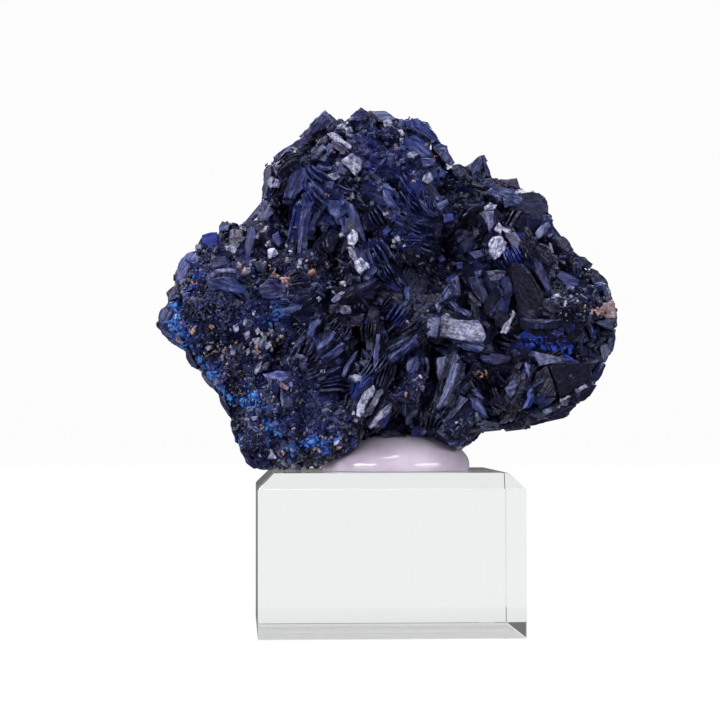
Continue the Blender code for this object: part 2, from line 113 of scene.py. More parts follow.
# How crystals lie on the shown side, by habit: pixel, heading of their length in degrees from the picture's
# right, and how far their broad faces lean over
Lie = namedtuple("Lie", "px py heading lean habit")
LIES_BY_HABIT = {
    "block": (
        (330, 120, 60, 0), (318, 138, 50, 0), (300, 152, 40, 0), (283, 165, 40, 0), (270, 195, 80, 0),
        (348, 140, 0, 0), (372, 132, 0, 0), (398, 128, 0, 0), (425, 135, -50, 0), (330, 160, 0, 0),
        (378, 158, 0, 0), (405, 168, 0, 0), (368, 180, -50, 0), (440, 185, -40, 0), (225, 240, 20, 0),
        (272, 225, -60, 0), (465, 215, 50, 0), (476, 168, 60, 0), (505, 184, 80, 0), (535, 202, 10, 0),
        (545, 230, 60, 0), (585, 268, -30, 0), (600, 300, -30, 0),
    ),
    "sheaf": (
        (293, 186, 64, 30), (316, 184, -40, 20), (303, 225, 71, -35), (356, 225, -65, 40),
        (373, 210, -42, 30), (392, 200, -58, 25), (380, 256, -72, 30), (250, 240, 78, -20),
        (300, 310, 8, 30), (330, 300, 10, 20), (316, 330, 58, -20), (330, 345, 45, 20), (330, 368, 28, 20),
        (349, 362, 57, -20), (376, 345, 87, 10), (368, 400, 65, -20), (335, 400, 20, 30),
        (426, 212, -48, 30), (410, 225, -20, 30), (395, 275, -60, 30), (455, 300, -42, 30),
        (413, 299, 38, 30), (410, 318, 40, 30), (400, 350, 38, 25), (428, 366, -84, 20),
        (480, 408, -50, 25), (500, 408, -72, 20), (415, 415, 62, 20), (420, 432, 60, 20),
        (390, 420, 50, -20),
    ),
    "grain": (
        (320, 245, 75, 0), (215, 275, -25, 30), (240, 275, -20, 30), (190, 275, 60, 0), (180, 310, 70, 0),
        (210, 305, 0, 0), (240, 312, -20, 0), (200, 335, 40, 0), (235, 340, 20, 0), (262, 345, 20, 0),
        (225, 368, 30, 0), (258, 375, 0, 0), (240, 405, 60, 0), (260, 430, 30, 0), (258, 458, 0, 0),
        (290, 450, 0, 0), (320, 450, 0, 0), (295, 425, 20, 0), (275, 270, -30, 0), (270, 290, -8, 0),
        (325, 278, 25, 0), (310, 400, 40, 20), (340, 425, 40, 20), (275, 385, -8, 0), (394, 243, 30, 0),
        (430, 265, 20, 0), (565, 252, -30, 20), (572, 290, -20, 20), (570, 305, -20, 30),
        (606, 345, -70, 20), (413, 368, 70, 0), (485, 380, 60, 30), (588, 380, 60, 20), (560, 408, 30, 0),
        (520, 424, 5, 0), (460, 435, 60, 20),
    ),
    "slab": (
        (440, 204, -70, 20), (488, 221, 85, 0), (530, 240, -70, 20), (485, 262, -5, 40),
        (526, 280, -62, 30), (475, 295, -50, 35), (500, 300, -70, 40), (545, 322, 0, 50),
        (590, 330, -62, -30), (450, 345, -20, 45), (500, 345, -5, 45), (495, 332, 66, 20),
        (447, 380, 72, -25), (454, 405, 54, -25), (520, 385, 70, 20), (530, 405, 66, 20),
        (560, 380, 30, 0),
    ),
}
LIES = [Lie(*entry, habit) for habit, entries in LIES_BY_HABIT.items() for entry in entries]

# Painted shade darkens the crystals in these recesses, and the shallow ones are there mostly for that shade
# Dark recesses between the crystals: pixel, half width, half height and depth in millimetres
Hollow = namedtuple("Hollow", "px py wide high deep")
HOLLOWS = [Hollow(*entry) for entry in (
    (440, 246, 5.6, 4.4, 4.0), (428, 270, 5.0, 3.6, 3.0), (474, 238, 2.8, 4.6, 3.0),
    (468, 190, 2.4, 3.0, 2.2), (289, 222, 1.8, 4.2, 3.2), (322, 240, 2.4, 4.8, 3.4),
    (318, 272, 2.6, 2.0, 1.5), (530, 300, 3.0, 4.6, 1.2), (490, 300, 2.6, 4.0, 2.0),
    (505, 345, 3.0, 2.4, 2.4), (490, 378, 4.6, 2.6, 3.2), (520, 372, 2.8, 3.0, 2.2),
    (378, 318, 3.4, 2.4, 2.0), (352, 300, 3.0, 1.6, 1.4), (362, 335, 1.8, 2.0, 1.6),
    (225, 297, 4.0, 1.6, 1.6), (250, 298, 2.4, 1.6, 1.2), (396, 376, 3.0, 2.4, 1.6),
    (560, 355, 5.0, 1.2, 1.8), (545, 330, 4.0, 0.9, 1.6), (368, 436, 2.8, 1.6, 1.6),
    (300, 415, 4.0, 2.6, 1.2), (512, 215, 2.4, 1.4, 1.6), (576, 248, 3.0, 3.0, 0.3),
    (580, 280, 2.6, 2.6, 0.3), (538, 300, 2.4, 3.2, 0.6), (545, 372, 3.2, 3.2, 0.6),
    (505, 318, 2.0, 2.6, 0.6), (530, 325, 1.8, 1.0, 0.6), (575, 330, 2.2, 2.0, 0.5),
    (540, 240, 2.4, 3.0, 0.5), (508, 400, 1.6, 2.6, 0.6), (440, 425, 2.4, 2.0, 0.6),
    (405, 390, 2.0, 2.0, 0.6), (350, 385, 1.4, 2.2, 0.6),
)]

# What a crystal's face looks like: tone from black to blue, and shares of painted glint, cobalt and clay
# finish
# The silver, pearl and frosted finishes are painted highlights, and every finish's glint share is painted
FINISHES = {
    "black": (0.0, 0.0, 0.0, 0.0),
    "dark": (0.2, 0.0, 0.0, 0.0),
    "navy": (0.5, 0.02, 0.0, 0.0),
    "slate": (0.7, 0.16, 0.0, 0.0),
    "slate_pale": (0.8, 0.32, 0.03, 0.0),
    "leaf_dark": (0.5, 0.04, 0.03, 0.0),
    "leaf": (0.9, 0.10, 0.05, 0.0),
    "leaf_light": (1.0, 0.22, 0.08, 0.0),
    "blue_dim": (0.7, 0.03, 0.07, 0.0),
    "blue": (1.0, 0.12, 0.24, 0.0),
    "cobalt_deep": (0.8, 0.0, 0.3, 0.0),
    "lilac_dim": (0.9, 0.24, 0.14, 0.0),
    "lilac": (1.0, 0.42, 0.28, 0.0),
    "lilac_bright": (1.0, 0.75, 0.18, 0.0),
    "lilac_grey_dim": (0.7, 0.20, 0.04, 0.02),
    "lilac_grey": (0.8, 0.36, 0.06, 0.02),
    "silver_glint_dim": (0.8, 0.52, 0.0, 0.0),
    "frosted_glint": (0.8, 0.56, 0.0, 0.0),
    "silver_glint": (0.9, 0.80, 0.0, 0.0),
    "pearl_glint_dim": (0.9, 0.72, 0.0, 0.03),
    "pearl_glint": (1.0, 1.0, 0.0, 0.0),
    "brown": (0.4, 0.08, 0.0, 0.06),
    "brown_pale": (0.5, 0.34, 0.0, 0.12),
    "clay_pale": (0.5, 0.50, 0.0, 0.45),
}

# Crystals that are easy to pick out or that stand on the outline: finish, heading of the streaks, how the
# face turns aside and up from facing the camera, in degrees, and the face's corners in pixels
Face = namedtuple("Face", "name finish heading yaw pitch points")
# Faces named pale, bright or glint, and those with a silver, pearl or frosted finish, are painted highlights
FACES = (
    Face("crown_tip_left", "slate", 60, -20, 30,
         ((325, 110), (334, 119), (330, 127), (318, 127), (309, 125), (315, 118))),
    Face("crown_tip_left_side", "dark", 60, 30, 10, ((334, 119), (337, 128), (330, 134), (326, 128))),
    Face("crown_tip_middle", "slate", 10, 15, 35,
         ((361, 107), (369, 112), (366, 121), (352, 120), (350, 116))),
    Face("crown_tip_right", "slate", 0, 0, 40,
         ((372, 111), (386, 111), (396, 118), (390, 123), (374, 120))),
    Face("crown_small_square", "pearl_glint_dim", 10, 10, 10, ((345, 127), (351, 126), (353, 132), (346, 133))),
    Face("crown_pale_row", "silver_glint", -38, -15, 15,
         ((327, 134), (334, 132), (352, 146), (351, 150), (345, 148), (330, 138))),
    Face("crown_row_below", "brown", -30, 5, 5,
         ((331, 141), (342, 143), (350, 152), (346, 154), (332, 148))),
    Face("crown_pale_block", "silver_glint", -35, 20, 12,
         ((341, 160), (352, 153), (363, 160), (361, 170), (356, 176), (345, 165))),
    Face("crown_pale_block_low", "pearl_glint_dim", 60, 5, 0,
         ((354, 178), (358, 176), (361, 178), (358, 182), (354, 181))),
    Face("crown_grey_block", "silver_glint", 10, -18, 15,
         ((326, 175), (338, 171), (340, 177), (335, 181), (326, 181))),
    Face("crown_grey_block_low", "slate", 70, 0, -10, ((326, 182), (335, 182), (332, 189), (325, 188))),
    Face("crown_edge_face", "silver_glint_dim", 84, -25, 8,
         ((267, 181), (272, 176), (279, 180), (279, 188), (270, 188))),
    Face("crown_edge_line", "silver_glint_dim", 0, 0, 40,
         ((272, 165), (284, 165), (293, 166), (292, 170), (288, 169), (273, 168))),
    Face("crown_edge_low", "silver_glint_dim", -60, -20, 0,
         ((263, 203), (268, 204), (274, 213), (272, 215), (264, 210))),
    Face("leaf_face", "leaf", 65, -10, 10,
         ((290, 171), (300, 165), (311, 172), (317, 178), (308, 184), (301, 191), (295, 199), (283, 198),
          (286, 184))),
    Face("leaf_foot", "leaf_light", 65, 5, 0, ((282, 200), (295, 200), (291, 204), (283, 204))),
    Face("leaf_blade", "leaf_light", -35, 10, 10,
         ((308, 183), (313, 182), (323, 190), (326, 195), (320, 194), (312, 189))),
    Face("leaf_blade_high", "leaf", -20, 0, 20,
         ((318, 163), (334, 166), (332, 170), (320, 172), (314, 178), (310, 172))),
    Face("fan_heart", "leaf", 80, 0, 5,
         ((326, 200), (344, 201), (351, 207), (345, 215), (338, 220), (330, 214), (325, 206))),
    Face("fan_arm_left", "leaf_light", 72, -40, 0,
         ((308, 202), (314, 203), (305, 219), (302, 236), (301, 254), (297, 256), (297, 234),
          (301, 215))),
    Face("fan_arm_left_inner", "leaf", 66, -30, 0,
         ((321, 203), (327, 206), (316, 220), (308, 236), (303, 241), (307, 224), (314, 211))),
    Face("fan_arm_right", "leaf_light", -64, 35, 5,
         ((345, 201), (352, 204), (359, 216), (364, 232), (367, 243), (362, 241), (357, 228),
          (350, 213))),
    Face("fan_arm_right_inner", "leaf", -72, 25, 0,
         ((340, 218), (346, 215), (351, 226), (347, 237), (343, 231))),
    Face("fan_arm_outer", "leaf", -55, 30, 0,
         ((337, 198), (345, 199), (356, 207), (351, 207), (343, 203))),
    Face("druse_column_high", "pearl_glint", -72, -20, 10,
         ((347, 236), (352, 229), (357, 232), (358, 240), (354, 246), (348, 244))),
    Face("druse_column_middle", "silver_glint", -60, 15, 5,
         ((347, 247), (354, 246), (357, 252), (361, 250), (361, 257), (355, 262), (350, 257))),
    Face("druse_column_low", "pearl_glint", -66, -18, 8,
         ((354, 262), (361, 257), (369, 264), (370, 268), (364, 270), (361, 275), (356, 270))),
    Face("druse_column_foot", "slate", -60, 10, 0, ((354, 277), (361, 275), (361, 282), (356, 282))),
    Face("left_grey_block", "brown_pale", 86, -8, 5,
         ((230, 230), (243, 229), (243, 240), (236, 242), (229, 238))),
    Face("left_pale_chip", "silver_glint", -30, 12, 14,
         ((226, 247), (232, 244), (237, 250), (234, 254), (228, 251))),
    Face("lobe_top_shell", "leaf_dark", -15, 5, 15,
         ((210, 260), (216, 256), (226, 256), (230, 261), (225, 268), (214, 268))),
    Face("lobe_shell_edge", "lilac_grey", -10, 5, 20,
         ((207, 276), (215, 270), (226, 268), (237, 269), (242, 275), (236, 273), (226, 272), (216, 274),
          (209, 280))),
    Face("lobe_shell", "leaf_dark", -22, 0, 5,
         ((206, 283), (214, 278), (225, 276), (236, 280), (246, 291), (238, 295), (222, 290),
          (209, 291))),
    Face("lobe_teal_plate", "leaf_dark", -30, 5, 5,
         ((259, 286), (268, 279), (279, 280), (286, 288), (276, 294), (264, 293))),
    Face("lobe_dark_block", "dark", 60, 5, 5,
         ((255, 263), (262, 260), (267, 265), (264, 273), (257, 271))),
    Face("left_blue_block", "cobalt_deep", 8, 0, 5,
         ((202, 235), (217, 232), (218, 246), (210, 247), (202, 243))),
    Face("left_outline_block", "slate", 20, -15, 25,
         ((222, 221), (231, 223), (228, 230), (219, 232), (219, 226))),
    Face("pale_pair_high", "silver_glint", 80, 15, 5, ((266, 242), (270, 240), (271, 246), (267, 248))),
    Face("pale_pair_low", "pearl_glint", 50, -15, 8, ((267, 250), (274, 248), (279, 255), (268, 259))),
    Face("saddle_blade", "leaf", 80, -30, 0,
         ((247, 229), (253, 226), (256, 238), (251, 255), (246, 263), (244, 251), (246, 239))),
    Face("druse_lilac", "lilac_dim", 50, 10, 10,
         ((272, 235), (278, 231), (281, 240), (279, 247), (273, 242))),
    Face("arc_pale_high", "silver_glint_dim", 40, -10, 20,
         ((331, 300), (338, 293), (345, 289), (346, 293), (339, 300), (333, 303))),
    Face("arc_pale_low", "silver_glint_dim", -12, 5, 30,
         ((329, 305), (340, 302), (350, 306), (351, 311), (345, 307), (336, 306))),
    Face("bright_grain", "pearl_glint", 20, 10, 10, ((316, 298), (319, 296), (322, 299), (319, 302))),
    Face("plain_plate", "navy", 10, 0, 0,
         ((259, 287), (270, 284), (280, 289), (286, 296), (275, 299), (262, 298))),
    Face("arc_blade_high", "leaf", 10, 0, 15,
         ((281, 309), (295, 303), (305, 304), (300, 310), (284, 316))),
    Face("arc_blade_tall", "leaf_light", 60, 20, 10,
         ((309, 336), (310, 323), (317, 318), (322, 320), (315, 330), (312, 337))),
    Face("crown_glint_high", "pearl_glint", -50, 20, 10, ((397, 130), (402, 129), (405, 134), (401, 137))),
    Face("crown_glint_low", "pearl_glint", -50, 20, 10, ((400, 138), (404, 138), (403, 144), (400, 142))),
    Face("crown_glint_small", "pearl_glint", 0, -15, 10, ((424, 144), (427, 143), (428, 147), (425, 147))),
    Face("crown_top_chip", "silver_glint_dim", 0, 10, 35, ((383, 121), (391, 119), (392, 125), (385, 128))),
    Face("crown_blue_slab", "blue_dim", -40, 30, 20,
         ((404, 121), (418, 118), (428, 124), (436, 134), (441, 143), (430, 139), (418, 132),
          (407, 128))),
    Face("crown_blue_face", "blue", -45, 20, 10,
         ((405, 137), (416, 135), (428, 146), (432, 155), (422, 158), (411, 150), (404, 143))),
    Face("crown_lilac_face", "lilac_dim", -20, -10, 5,
         ((413, 160), (427, 158), (436, 159), (433, 165), (418, 170), (414, 166))),
    Face("crown_disc", "silver_glint_dim", 5, 10, 25,
         ((407, 154), (413, 151), (419, 154), (414, 158), (408, 158))),
    Face("crown_right_blue", "blue", 0, 20, 5,
         ((433, 171), (440, 166), (448, 172), (444, 178), (437, 176))),
    Face("crown_right_pair", "silver_glint_dim", 70, -15, 8,
         ((423, 176), (431, 172), (433, 180), (428, 184), (422, 181))),
    Face("crown_right_edge", "slate", 0, 25, 15, ((436, 146), (447, 145), (448, 151), (441, 152))),
    Face("crown_right_chip", "slate", 30, 20, 5, ((447, 180), (454, 178), (456, 183), (450, 185))),
    Face("fan_right_blade", "leaf_light", -52, 15, 5,
         ((383, 190), (388, 191), (397, 205), (395, 210), (385, 201))),
    Face("fan_right_blade_two", "leaf", -60, 15, 5, ((391, 190), (395, 188), (400, 197), (397, 200))),
    Face("fan_right_blade_three", "leaf", -45, 15, 0,
         ((418, 200), (424, 200), (436, 214), (434, 218), (424, 209))),
    Face("fan_right_chip", "slate", 30, -10, 10,
         ((436, 203), (447, 199), (449, 204), (441, 212), (437, 208))),
    Face("fan_right_blue", "blue", 0, 10, 5, ((443, 214), (453, 214), (454, 220), (444, 223))),
    Face("shoulder_tip_left", "slate", 60, -15, 20, ((466, 166), (481, 155), (483, 168), (473, 175))),
    Face("shoulder_tip_right", "navy", -70, 30, 10, ((482, 155), (492, 178), (485, 175), (484, 168))),
    Face("shoulder_tip_glint", "pearl_glint", 20, 10, 10, ((482, 175), (487, 171), (489, 175), (484, 177))),
    Face("shoulder_slab", "brown", 78, 5, -5,
         ((495, 180), (517, 178), (520, 189), (506, 187), (496, 184))),
    Face("shoulder_plate", "slate_pale", -18, 5, 0,
         ((487, 191), (492, 187), (505, 188), (514, 192), (523, 199), (518, 206), (505, 208), (503, 198),
          (495, 197))),
    Face("shoulder_lid", "pearl_glint_dim", 20, -15, 30,
         ((484, 207), (490, 202), (497, 205), (494, 210), (485, 211))),
    Face("shoulder_column", "lilac_grey", 86, -12, 0,
         ((485, 212), (494, 211), (493, 228), (489, 232), (485, 222))),
    Face("shoulder_round_tip", "dark", 10, 10, 0,
         ((518, 193), (532, 192), (541, 195), (547, 201), (548, 207), (545, 213), (537, 217), (522, 215),
          (508, 212), (514, 204))),
    Face("shoulder_far_plate", "lilac_grey", 60, 15, 10,
         ((535, 233), (541, 226), (549, 221), (551, 227), (545, 236), (538, 239))),
    Face("shoulder_side", "dark", 80, 15, -15,
         ((504, 213), (522, 215), (540, 217), (546, 214), (539, 228), (530, 238), (522, 232),
          (512, 226))),
    Face("pale_face_tip", "pearl_glint", 80, 10, 0, ((499, 222), (502, 226), (501, 235), (497, 231))),
    Face("pale_face_arm", "silver_glint", -35, -10, 15, ((502, 226), (511, 230), (509, 234), (502, 230))),
    Face("pale_face", "pearl_glint", 62, -15, 8,
         ((488, 244), (493, 237), (502, 236), (507, 243), (505, 250), (499, 257), (494, 260),
          (489, 253))),
    Face("pale_face_right", "lilac_grey", -60, 20, 5,
         ((506, 233), (515, 232), (521, 240), (519, 250), (512, 246), (508, 239))),
    Face("ledge_blue", "leaf", -10, 0, 25, ((467, 252), (479, 250), (487, 256), (475, 259))),
    Face("bright_edge", "silver_glint_dim", -28, 20, 25,
         ((541, 251), (553, 254), (566, 262), (565, 265), (553, 258), (542, 254))),
    Face("bright_edge_short", "silver_glint_dim", -70, 20, 20,
         ((549, 242), (552, 244), (554, 253), (551, 253))),
    Face("hollow_chip_left", "leaf", 20, 0, 10, ((437, 257), (443, 255), (446, 260), (440, 263))),
    Face("hollow_chip_right", "blue_dim", 0, 0, 5, ((455, 263), (463, 262), (463, 269), (457, 270))),
    Face("small_ledge", "silver_glint_dim", 0, 0, 40, ((487, 271), (505, 270), (507, 273), (488, 275))),
    Face("small_ledge_left", "leaf", 0, 0, 20, ((474, 271), (482, 270), (481, 276), (476, 277))),
    Face("tall_slab_left", "navy", -64, -25, -5,
         ((459, 277), (480, 276), (487, 291), (491, 310), (479, 300), (467, 286))),
    Face("tall_slab_sheen", "blue_dim", -70, 35, 0,
         ((503, 276), (508, 276), (514, 292), (514, 308), (507, 296))),
    Face("tall_slab", "black", -62, 10, -15,
         ((511, 262), (522, 264), (535, 280), (546, 300), (552, 317), (521, 318), (514, 292))),
    Face("tall_slab_right", "blue_dim", -68, 35, 0,
         ((533, 260), (541, 262), (552, 290), (547, 292), (538, 276))),
    Face("tall_slab_line", "leaf", -60, 20, 10,
         ((522, 263), (527, 267), (535, 279), (532, 280), (525, 271))),
    Face("corner_blue_plate", "blue_dim", -20, 15, 10,
         ((555, 270), (568, 273), (580, 280), (578, 286), (570, 289), (558, 279))),
    Face("corner_slate_plate", "slate", -10, 25, 20,
         ((580, 275), (590, 270), (599, 277), (600, 283), (590, 281), (582, 281))),
    Face("right_glint", "pearl_glint", -30, 15, 10,
         ((553, 295), (559, 293), (562, 298), (558, 301), (554, 299))),
    Face("right_glint_small", "silver_glint_dim", -20, 0, 10, ((583, 288), (586, 288), (588, 291), (585, 292))),
    Face("right_edge_chip", "silver_glint_dim", 0, 30, 10, ((606, 287), (611, 290), (609, 296), (605, 293))),
    Face("thin_curve_high", "silver_glint_dim", -55, 10, 25,
         ((464, 283), (467, 284), (474, 296), (482, 303), (481, 306), (471, 299))),
    Face("thin_curve_low", "slate", -40, 5, 25,
         ((444, 292), (448, 294), (459, 307), (472, 313), (470, 317), (457, 311), (449, 302))),
    Face("hook_small", "silver_glint_dim", -70, 10, 10, ((435, 305), (438, 302), (441, 308), (439, 313))),
    Face("druse_strip", "lilac_dim", -80, 5, 10, ((404, 284), (410, 286), (409, 299), (405, 301))),
    Face("level_blade", "slate", 0, 0, 35,
         ((520, 318), (545, 319), (561, 317), (563, 320), (545, 323), (530, 322))),
    Face("hook", "silver_glint", 68, -15, 10,
         ((508, 311), (514, 310), (516, 315), (511, 323), (506, 334), (500, 333), (503, 325),
          (511, 317))),
    Face("corner_plate", "slate", -14, 15, 5,
         ((595, 322), (608, 318), (615, 322), (614, 333), (605, 328))),
    Face("clay_plate", "clay_pale", -20, 30, 10,
         ((588, 311), (602, 303), (613, 300), (616, 311), (615, 318), (600, 318))),
    Face("corner_blade", "leaf", -65, -20, 0,
         ((581, 316), (585, 315), (592, 327), (596, 340), (591, 338), (586, 328))),
    Face("pale_plate_end", "slate_pale", -26, -22, 12,
         ((415, 329), (424, 320), (436, 317), (441, 317), (439, 327), (437, 338), (426, 334))),
    Face("pale_plate", "frosted_glint", -16, -20, 12,
         ((441, 316), (446, 312), (451, 317), (458, 320), (478, 320), (483, 328), (486, 336), (484, 341),
          (470, 342), (448, 337), (438, 338), (440, 327))),
    Face("pale_plate_low", "leaf_light", -16, 0, -20,
         ((462, 342), (484, 342), (483, 350), (478, 353), (463, 349))),
    Face("pale_plate_rim", "slate", -24, -5, -20,
         ((415, 330), (420, 330), (436, 339), (450, 344), (462, 350), (474, 354), (470, 356), (452, 349),
          (430, 340))),
    Face("plate_under", "slate", -14, -5, -10,
         ((434, 347), (450, 352), (463, 358), (456, 360), (443, 355))),
    Face("bowed_plate", "lilac_grey_dim", -3, 5, 10,
         ((479, 357), (492, 353), (505, 355), (513, 352), (514, 358), (508, 363), (495, 364),
          (484, 361))),
    Face("blade_wedge", "slate_pale", 78, -15, 5,
         ((437, 358), (447, 356), (445, 368), (441, 380), (438, 381), (437, 368))),
    Face("blade_thin", "slate_pale", -84, 10, 5,
         ((424, 357), (428, 358), (430, 368), (427, 378), (424, 377), (427, 368))),
    Face("blade_long", "slate_pale", 70, -18, 5,
         ((451, 362), (460, 364), (457, 378), (452, 390), (444, 402), (439, 410), (436, 407), (440, 398),
          (446, 384))),
    Face("blade_low", "slate_pale", 52, -15, 8,
         ((459, 395), (468, 399), (460, 409), (452, 418), (444, 424), (442, 420), (450, 408))),
    Face("fan_foot", "leaf_light", -52, 15, 8,
         ((470, 398), (478, 398), (486, 410), (489, 418), (480, 414), (472, 408))),
    Face("fan_foot_high", "slate", -50, 15, 8,
         ((471, 390), (477, 388), (485, 398), (483, 401), (474, 395))),
    Face("fine_blade", "slate_pale", -70, 10, 5,
         ((492, 398), (495, 398), (500, 410), (499, 415), (495, 411))),
    Face("fine_leaf", "silver_glint_dim", 58, -15, 8,
         ((510, 403), (515, 402), (511, 412), (503, 421), (499, 424), (503, 414))),
    Face("fine_chip", "silver_glint_dim", 10, 0, 25, ((521, 413), (528, 414), (529, 419), (524, 420))),
    Face("blue_blade_right", "blue", 66, -15, 5,
         ((528, 390), (533, 388), (531, 398), (526, 408), (522, 409), (527, 399))),
    Face("small_block_right", "slate", 20, 10, 15,
         ((505, 388), (514, 380), (518, 383), (516, 392), (511, 398), (507, 394))),
    Face("dark_plate", "black", 30, 5, -10,
         ((548, 366), (560, 362), (590, 362), (592, 378), (575, 391), (560, 397), (556, 385))),
    Face("dark_plate_left", "black", 60, -15, -10,
         ((536, 372), (546, 366), (554, 386), (556, 396), (545, 396), (534, 388))),
    Face("dark_plate_foot", "navy", 30, 0, -10,
         ((537, 403), (547, 396), (556, 398), (550, 405), (540, 410))),
    Face("rim_glint", "pearl_glint", 26, 10, 25, ((560, 399), (568, 395), (571, 396), (566, 399), (561, 402))),
    Face("rim_chips_high", "silver_glint_dim", 30, 10, 20, ((575, 389), (586, 384), (588, 387), (578, 392))),
    Face("rim_chips_low", "silver_glint_dim", 30, 10, 20, ((542, 410), (552, 406), (552, 411), (545, 414))),
    Face("rim_block_high", "dark", 40, 20, -5,
         ((556, 238), (563, 236), (570, 243), (574, 250), (567, 253), (558, 247))),
    Face("rim_block_middle", "dark", 30, 20, -5,
         ((576, 256), (585, 257), (593, 264), (590, 269), (580, 266))),
    Face("rim_block_low", "dark", 50, 20, -5,
         ((577, 272), (586, 270), (595, 277), (598, 288), (588, 291), (579, 283))),
    Face("lobe_rim_high", "lilac_dim", 55, -25, 5,
         ((175, 273), (179, 262), (186, 254), (193, 251), (196, 257), (190, 268), (184, 279),
          (177, 284))),
    Face("crown_corner_block", "slate", 60, 15, 10,
         ((431, 143), (440, 143), (447, 147), (449, 153), (455, 163), (450, 166), (443, 161),
          (435, 152))),
    Face("notch_block", "dark", 30, 10, 5,
         ((452, 165), (460, 164), (468, 167), (474, 176), (470, 184), (460, 180), (453, 173))),
    Face("peak_foot", "navy", 20, 10, 5, ((486, 179), (494, 178), (497, 186), (490, 189), (482, 185))),
    Face("rim_block_far", "dark", 60, 20, -5,
         ((591, 268), (598, 271), (606, 279), (610, 290), (603, 295), (595, 288), (590, 278))),
    Face("rim_corner", "slate", 40, 20, 0, ((604, 292), (611, 292), (613, 299), (607, 303), (601, 299))),
    Face("crown_nick", "navy", 45, -20, 15,
         ((299, 136), (305, 130), (311, 127), (314, 133), (310, 140), (303, 142))),
    Face("crown_slope_upper", "navy", 55, -20, 15,
         ((322, 113), (328, 116), (332, 124), (322, 130), (312, 134), (305, 131), (312, 122))),
    Face("crown_slope_lower", "navy", 40, -20, 15,
         ((273, 157), (280, 151), (292, 144), (304, 135), (308, 142), (298, 152), (286, 160),
          (277, 164))),
    Face("crown_left_wall", "dark", 80, -25, 0,
         ((264, 170), (268, 165), (276, 165), (271, 180), (267, 200), (262, 198))),
    Face("crown_left_wall_low", "slate", 70, -25, 5,
         ((262, 200), (268, 201), (272, 214), (268, 222), (261, 218))),
    Face("saddle_block", "dark", 20, -10, 15,
         ((245, 222), (252, 220), (259, 221), (260, 230), (252, 234), (246, 231))),
    Face("crown_gap_block", "navy", 10, 5, 20,
         ((399, 119), (406, 120), (412, 123), (410, 130), (402, 130))),
    Face("corner_slab_high", "slate", 85, 25, 0,
         ((609, 301), (615, 303), (617, 314), (616, 322), (611, 322), (608, 312))),
    Face("corner_slab_low", "slate", 80, 25, -5,
         ((611, 330), (616, 329), (615, 342), (613, 351), (607, 355), (606, 344))),
    Face("corner_under", "navy", 60, 20, -15,
         ((596, 367), (603, 362), (606, 365), (602, 375), (596, 382), (591, 375))),
    Face("keel_one", "dark", 40, 15, -20,
         ((583, 392), (592, 384), (597, 385), (590, 396), (580, 402), (576, 398))),
    Face("keel_two", "dark", 25, 10, -20,
         ((562, 404), (573, 399), (577, 404), (568, 412), (556, 416), (553, 409))),
    Face("keel_three", "dark", 20, 5, -20,
         ((538, 416), (552, 411), (555, 416), (544, 423), (530, 426), (526, 421))),
    Face("keel_four", "dark", 5, 0, -20,
         ((504, 424), (518, 420), (526, 423), (520, 430), (508, 430), (500, 428))),
    Face("lobe_rim_shell", "navy", 50, -25, 5,
         ((166, 293), (172, 287), (179, 284), (183, 290), (178, 298), (168, 303))),
    Face("lobe_point_high", "slate", 70, -30, 0,
         ((158, 318), (161, 309), (168, 304), (173, 310), (170, 320), (163, 326))),
    Face("lobe_point_low", "navy", -40, -25, -10,
         ((159, 325), (164, 327), (172, 331), (176, 339), (168, 339), (162, 334))),
    Face("lobe_under_one", "navy", -55, -25, -10,
         ((184, 348), (191, 351), (194, 361), (198, 370), (191, 366), (186, 358))),
    Face("lobe_under_two", "slate", -45, -25, -10,
         ((201, 373), (208, 375), (214, 383), (217, 391), (210, 387), (204, 380))),
    Face("lobe_under_three", "navy", -60, -25, -10,
         ((218, 393), (224, 397), (229, 408), (231, 418), (226, 412), (220, 402))),
    Face("lobe_under_four", "blue_dim", -75, -25, -10,
         ((231, 421), (236, 425), (238, 437), (240, 447), (235, 442), (232, 432))),
    Face("lobe_foot_corner", "navy", -45, -15, -20,
         ((241, 450), (247, 455), (256, 462), (261, 469), (254, 469), (246, 463))),
    Face("crust_lilac", "blue_dim", -20, 0, 10, ((551, 333), (556, 328), (562, 333), (558, 338))),
    Face("line_under_crust", "lilac_grey", -8, 0, 30, ((531, 357), (546, 356), (548, 358), (538, 359))),
    Face("blade_under_crust", "leaf_light", -75, 10, 5, ((525, 362), (531, 366), (529, 378), (526, 373))),
    Face("corner_druse", "lilac_grey", -70, 25, 5,
         ((600, 345), (607, 343), (611, 352), (605, 363), (601, 357))),
    Face("corner_glint", "pearl_glint", -80, 10, 5, ((586, 366), (589, 366), (590, 372), (587, 371))),
    Face("corner_ledge", "brown", 5, 10, 30, ((586, 358), (599, 360), (597, 363), (587, 362))),
    Face("foot_druse", "slate", 20, 0, 10, ((447, 442), (454, 440), (456, 446), (450, 446))),
    Face("foot_druse_right", "slate", 25, 5, 5, ((465, 430), (478, 431), (474, 438), (466, 438))),
    Face("foot_wedge", "slate", 62, -10, 5,
         ((410, 408), (419, 407), (418, 412), (410, 420), (405, 425), (405, 417))),
    Face("foot_blue_fan", "blue", 60, 0, -5,
         ((412, 426), (427, 420), (431, 427), (424, 436), (411, 436))),
    Face("foot_blade", "leaf", 88, -15, 5, ((402, 402), (407, 401), (405, 417), (401, 412))),
    Face("curved_blue", "blue_dim", 70, 20, 0,
         ((425, 385), (432, 380), (434, 389), (429, 396), (422, 396), (427, 391))),
    Face("druse_patch", "slate", 70, 0, 10,
         ((407, 362), (416, 356), (420, 363), (417, 372), (409, 374), (406, 368))),
    Face("lilac_blade", "lilac", -8, 5, 15,
         ((263, 374), (276, 371), (290, 372), (293, 376), (286, 381), (275, 380), (265, 378))),
    Face("sliver_pale", "slate_pale", -80, 10, 5,
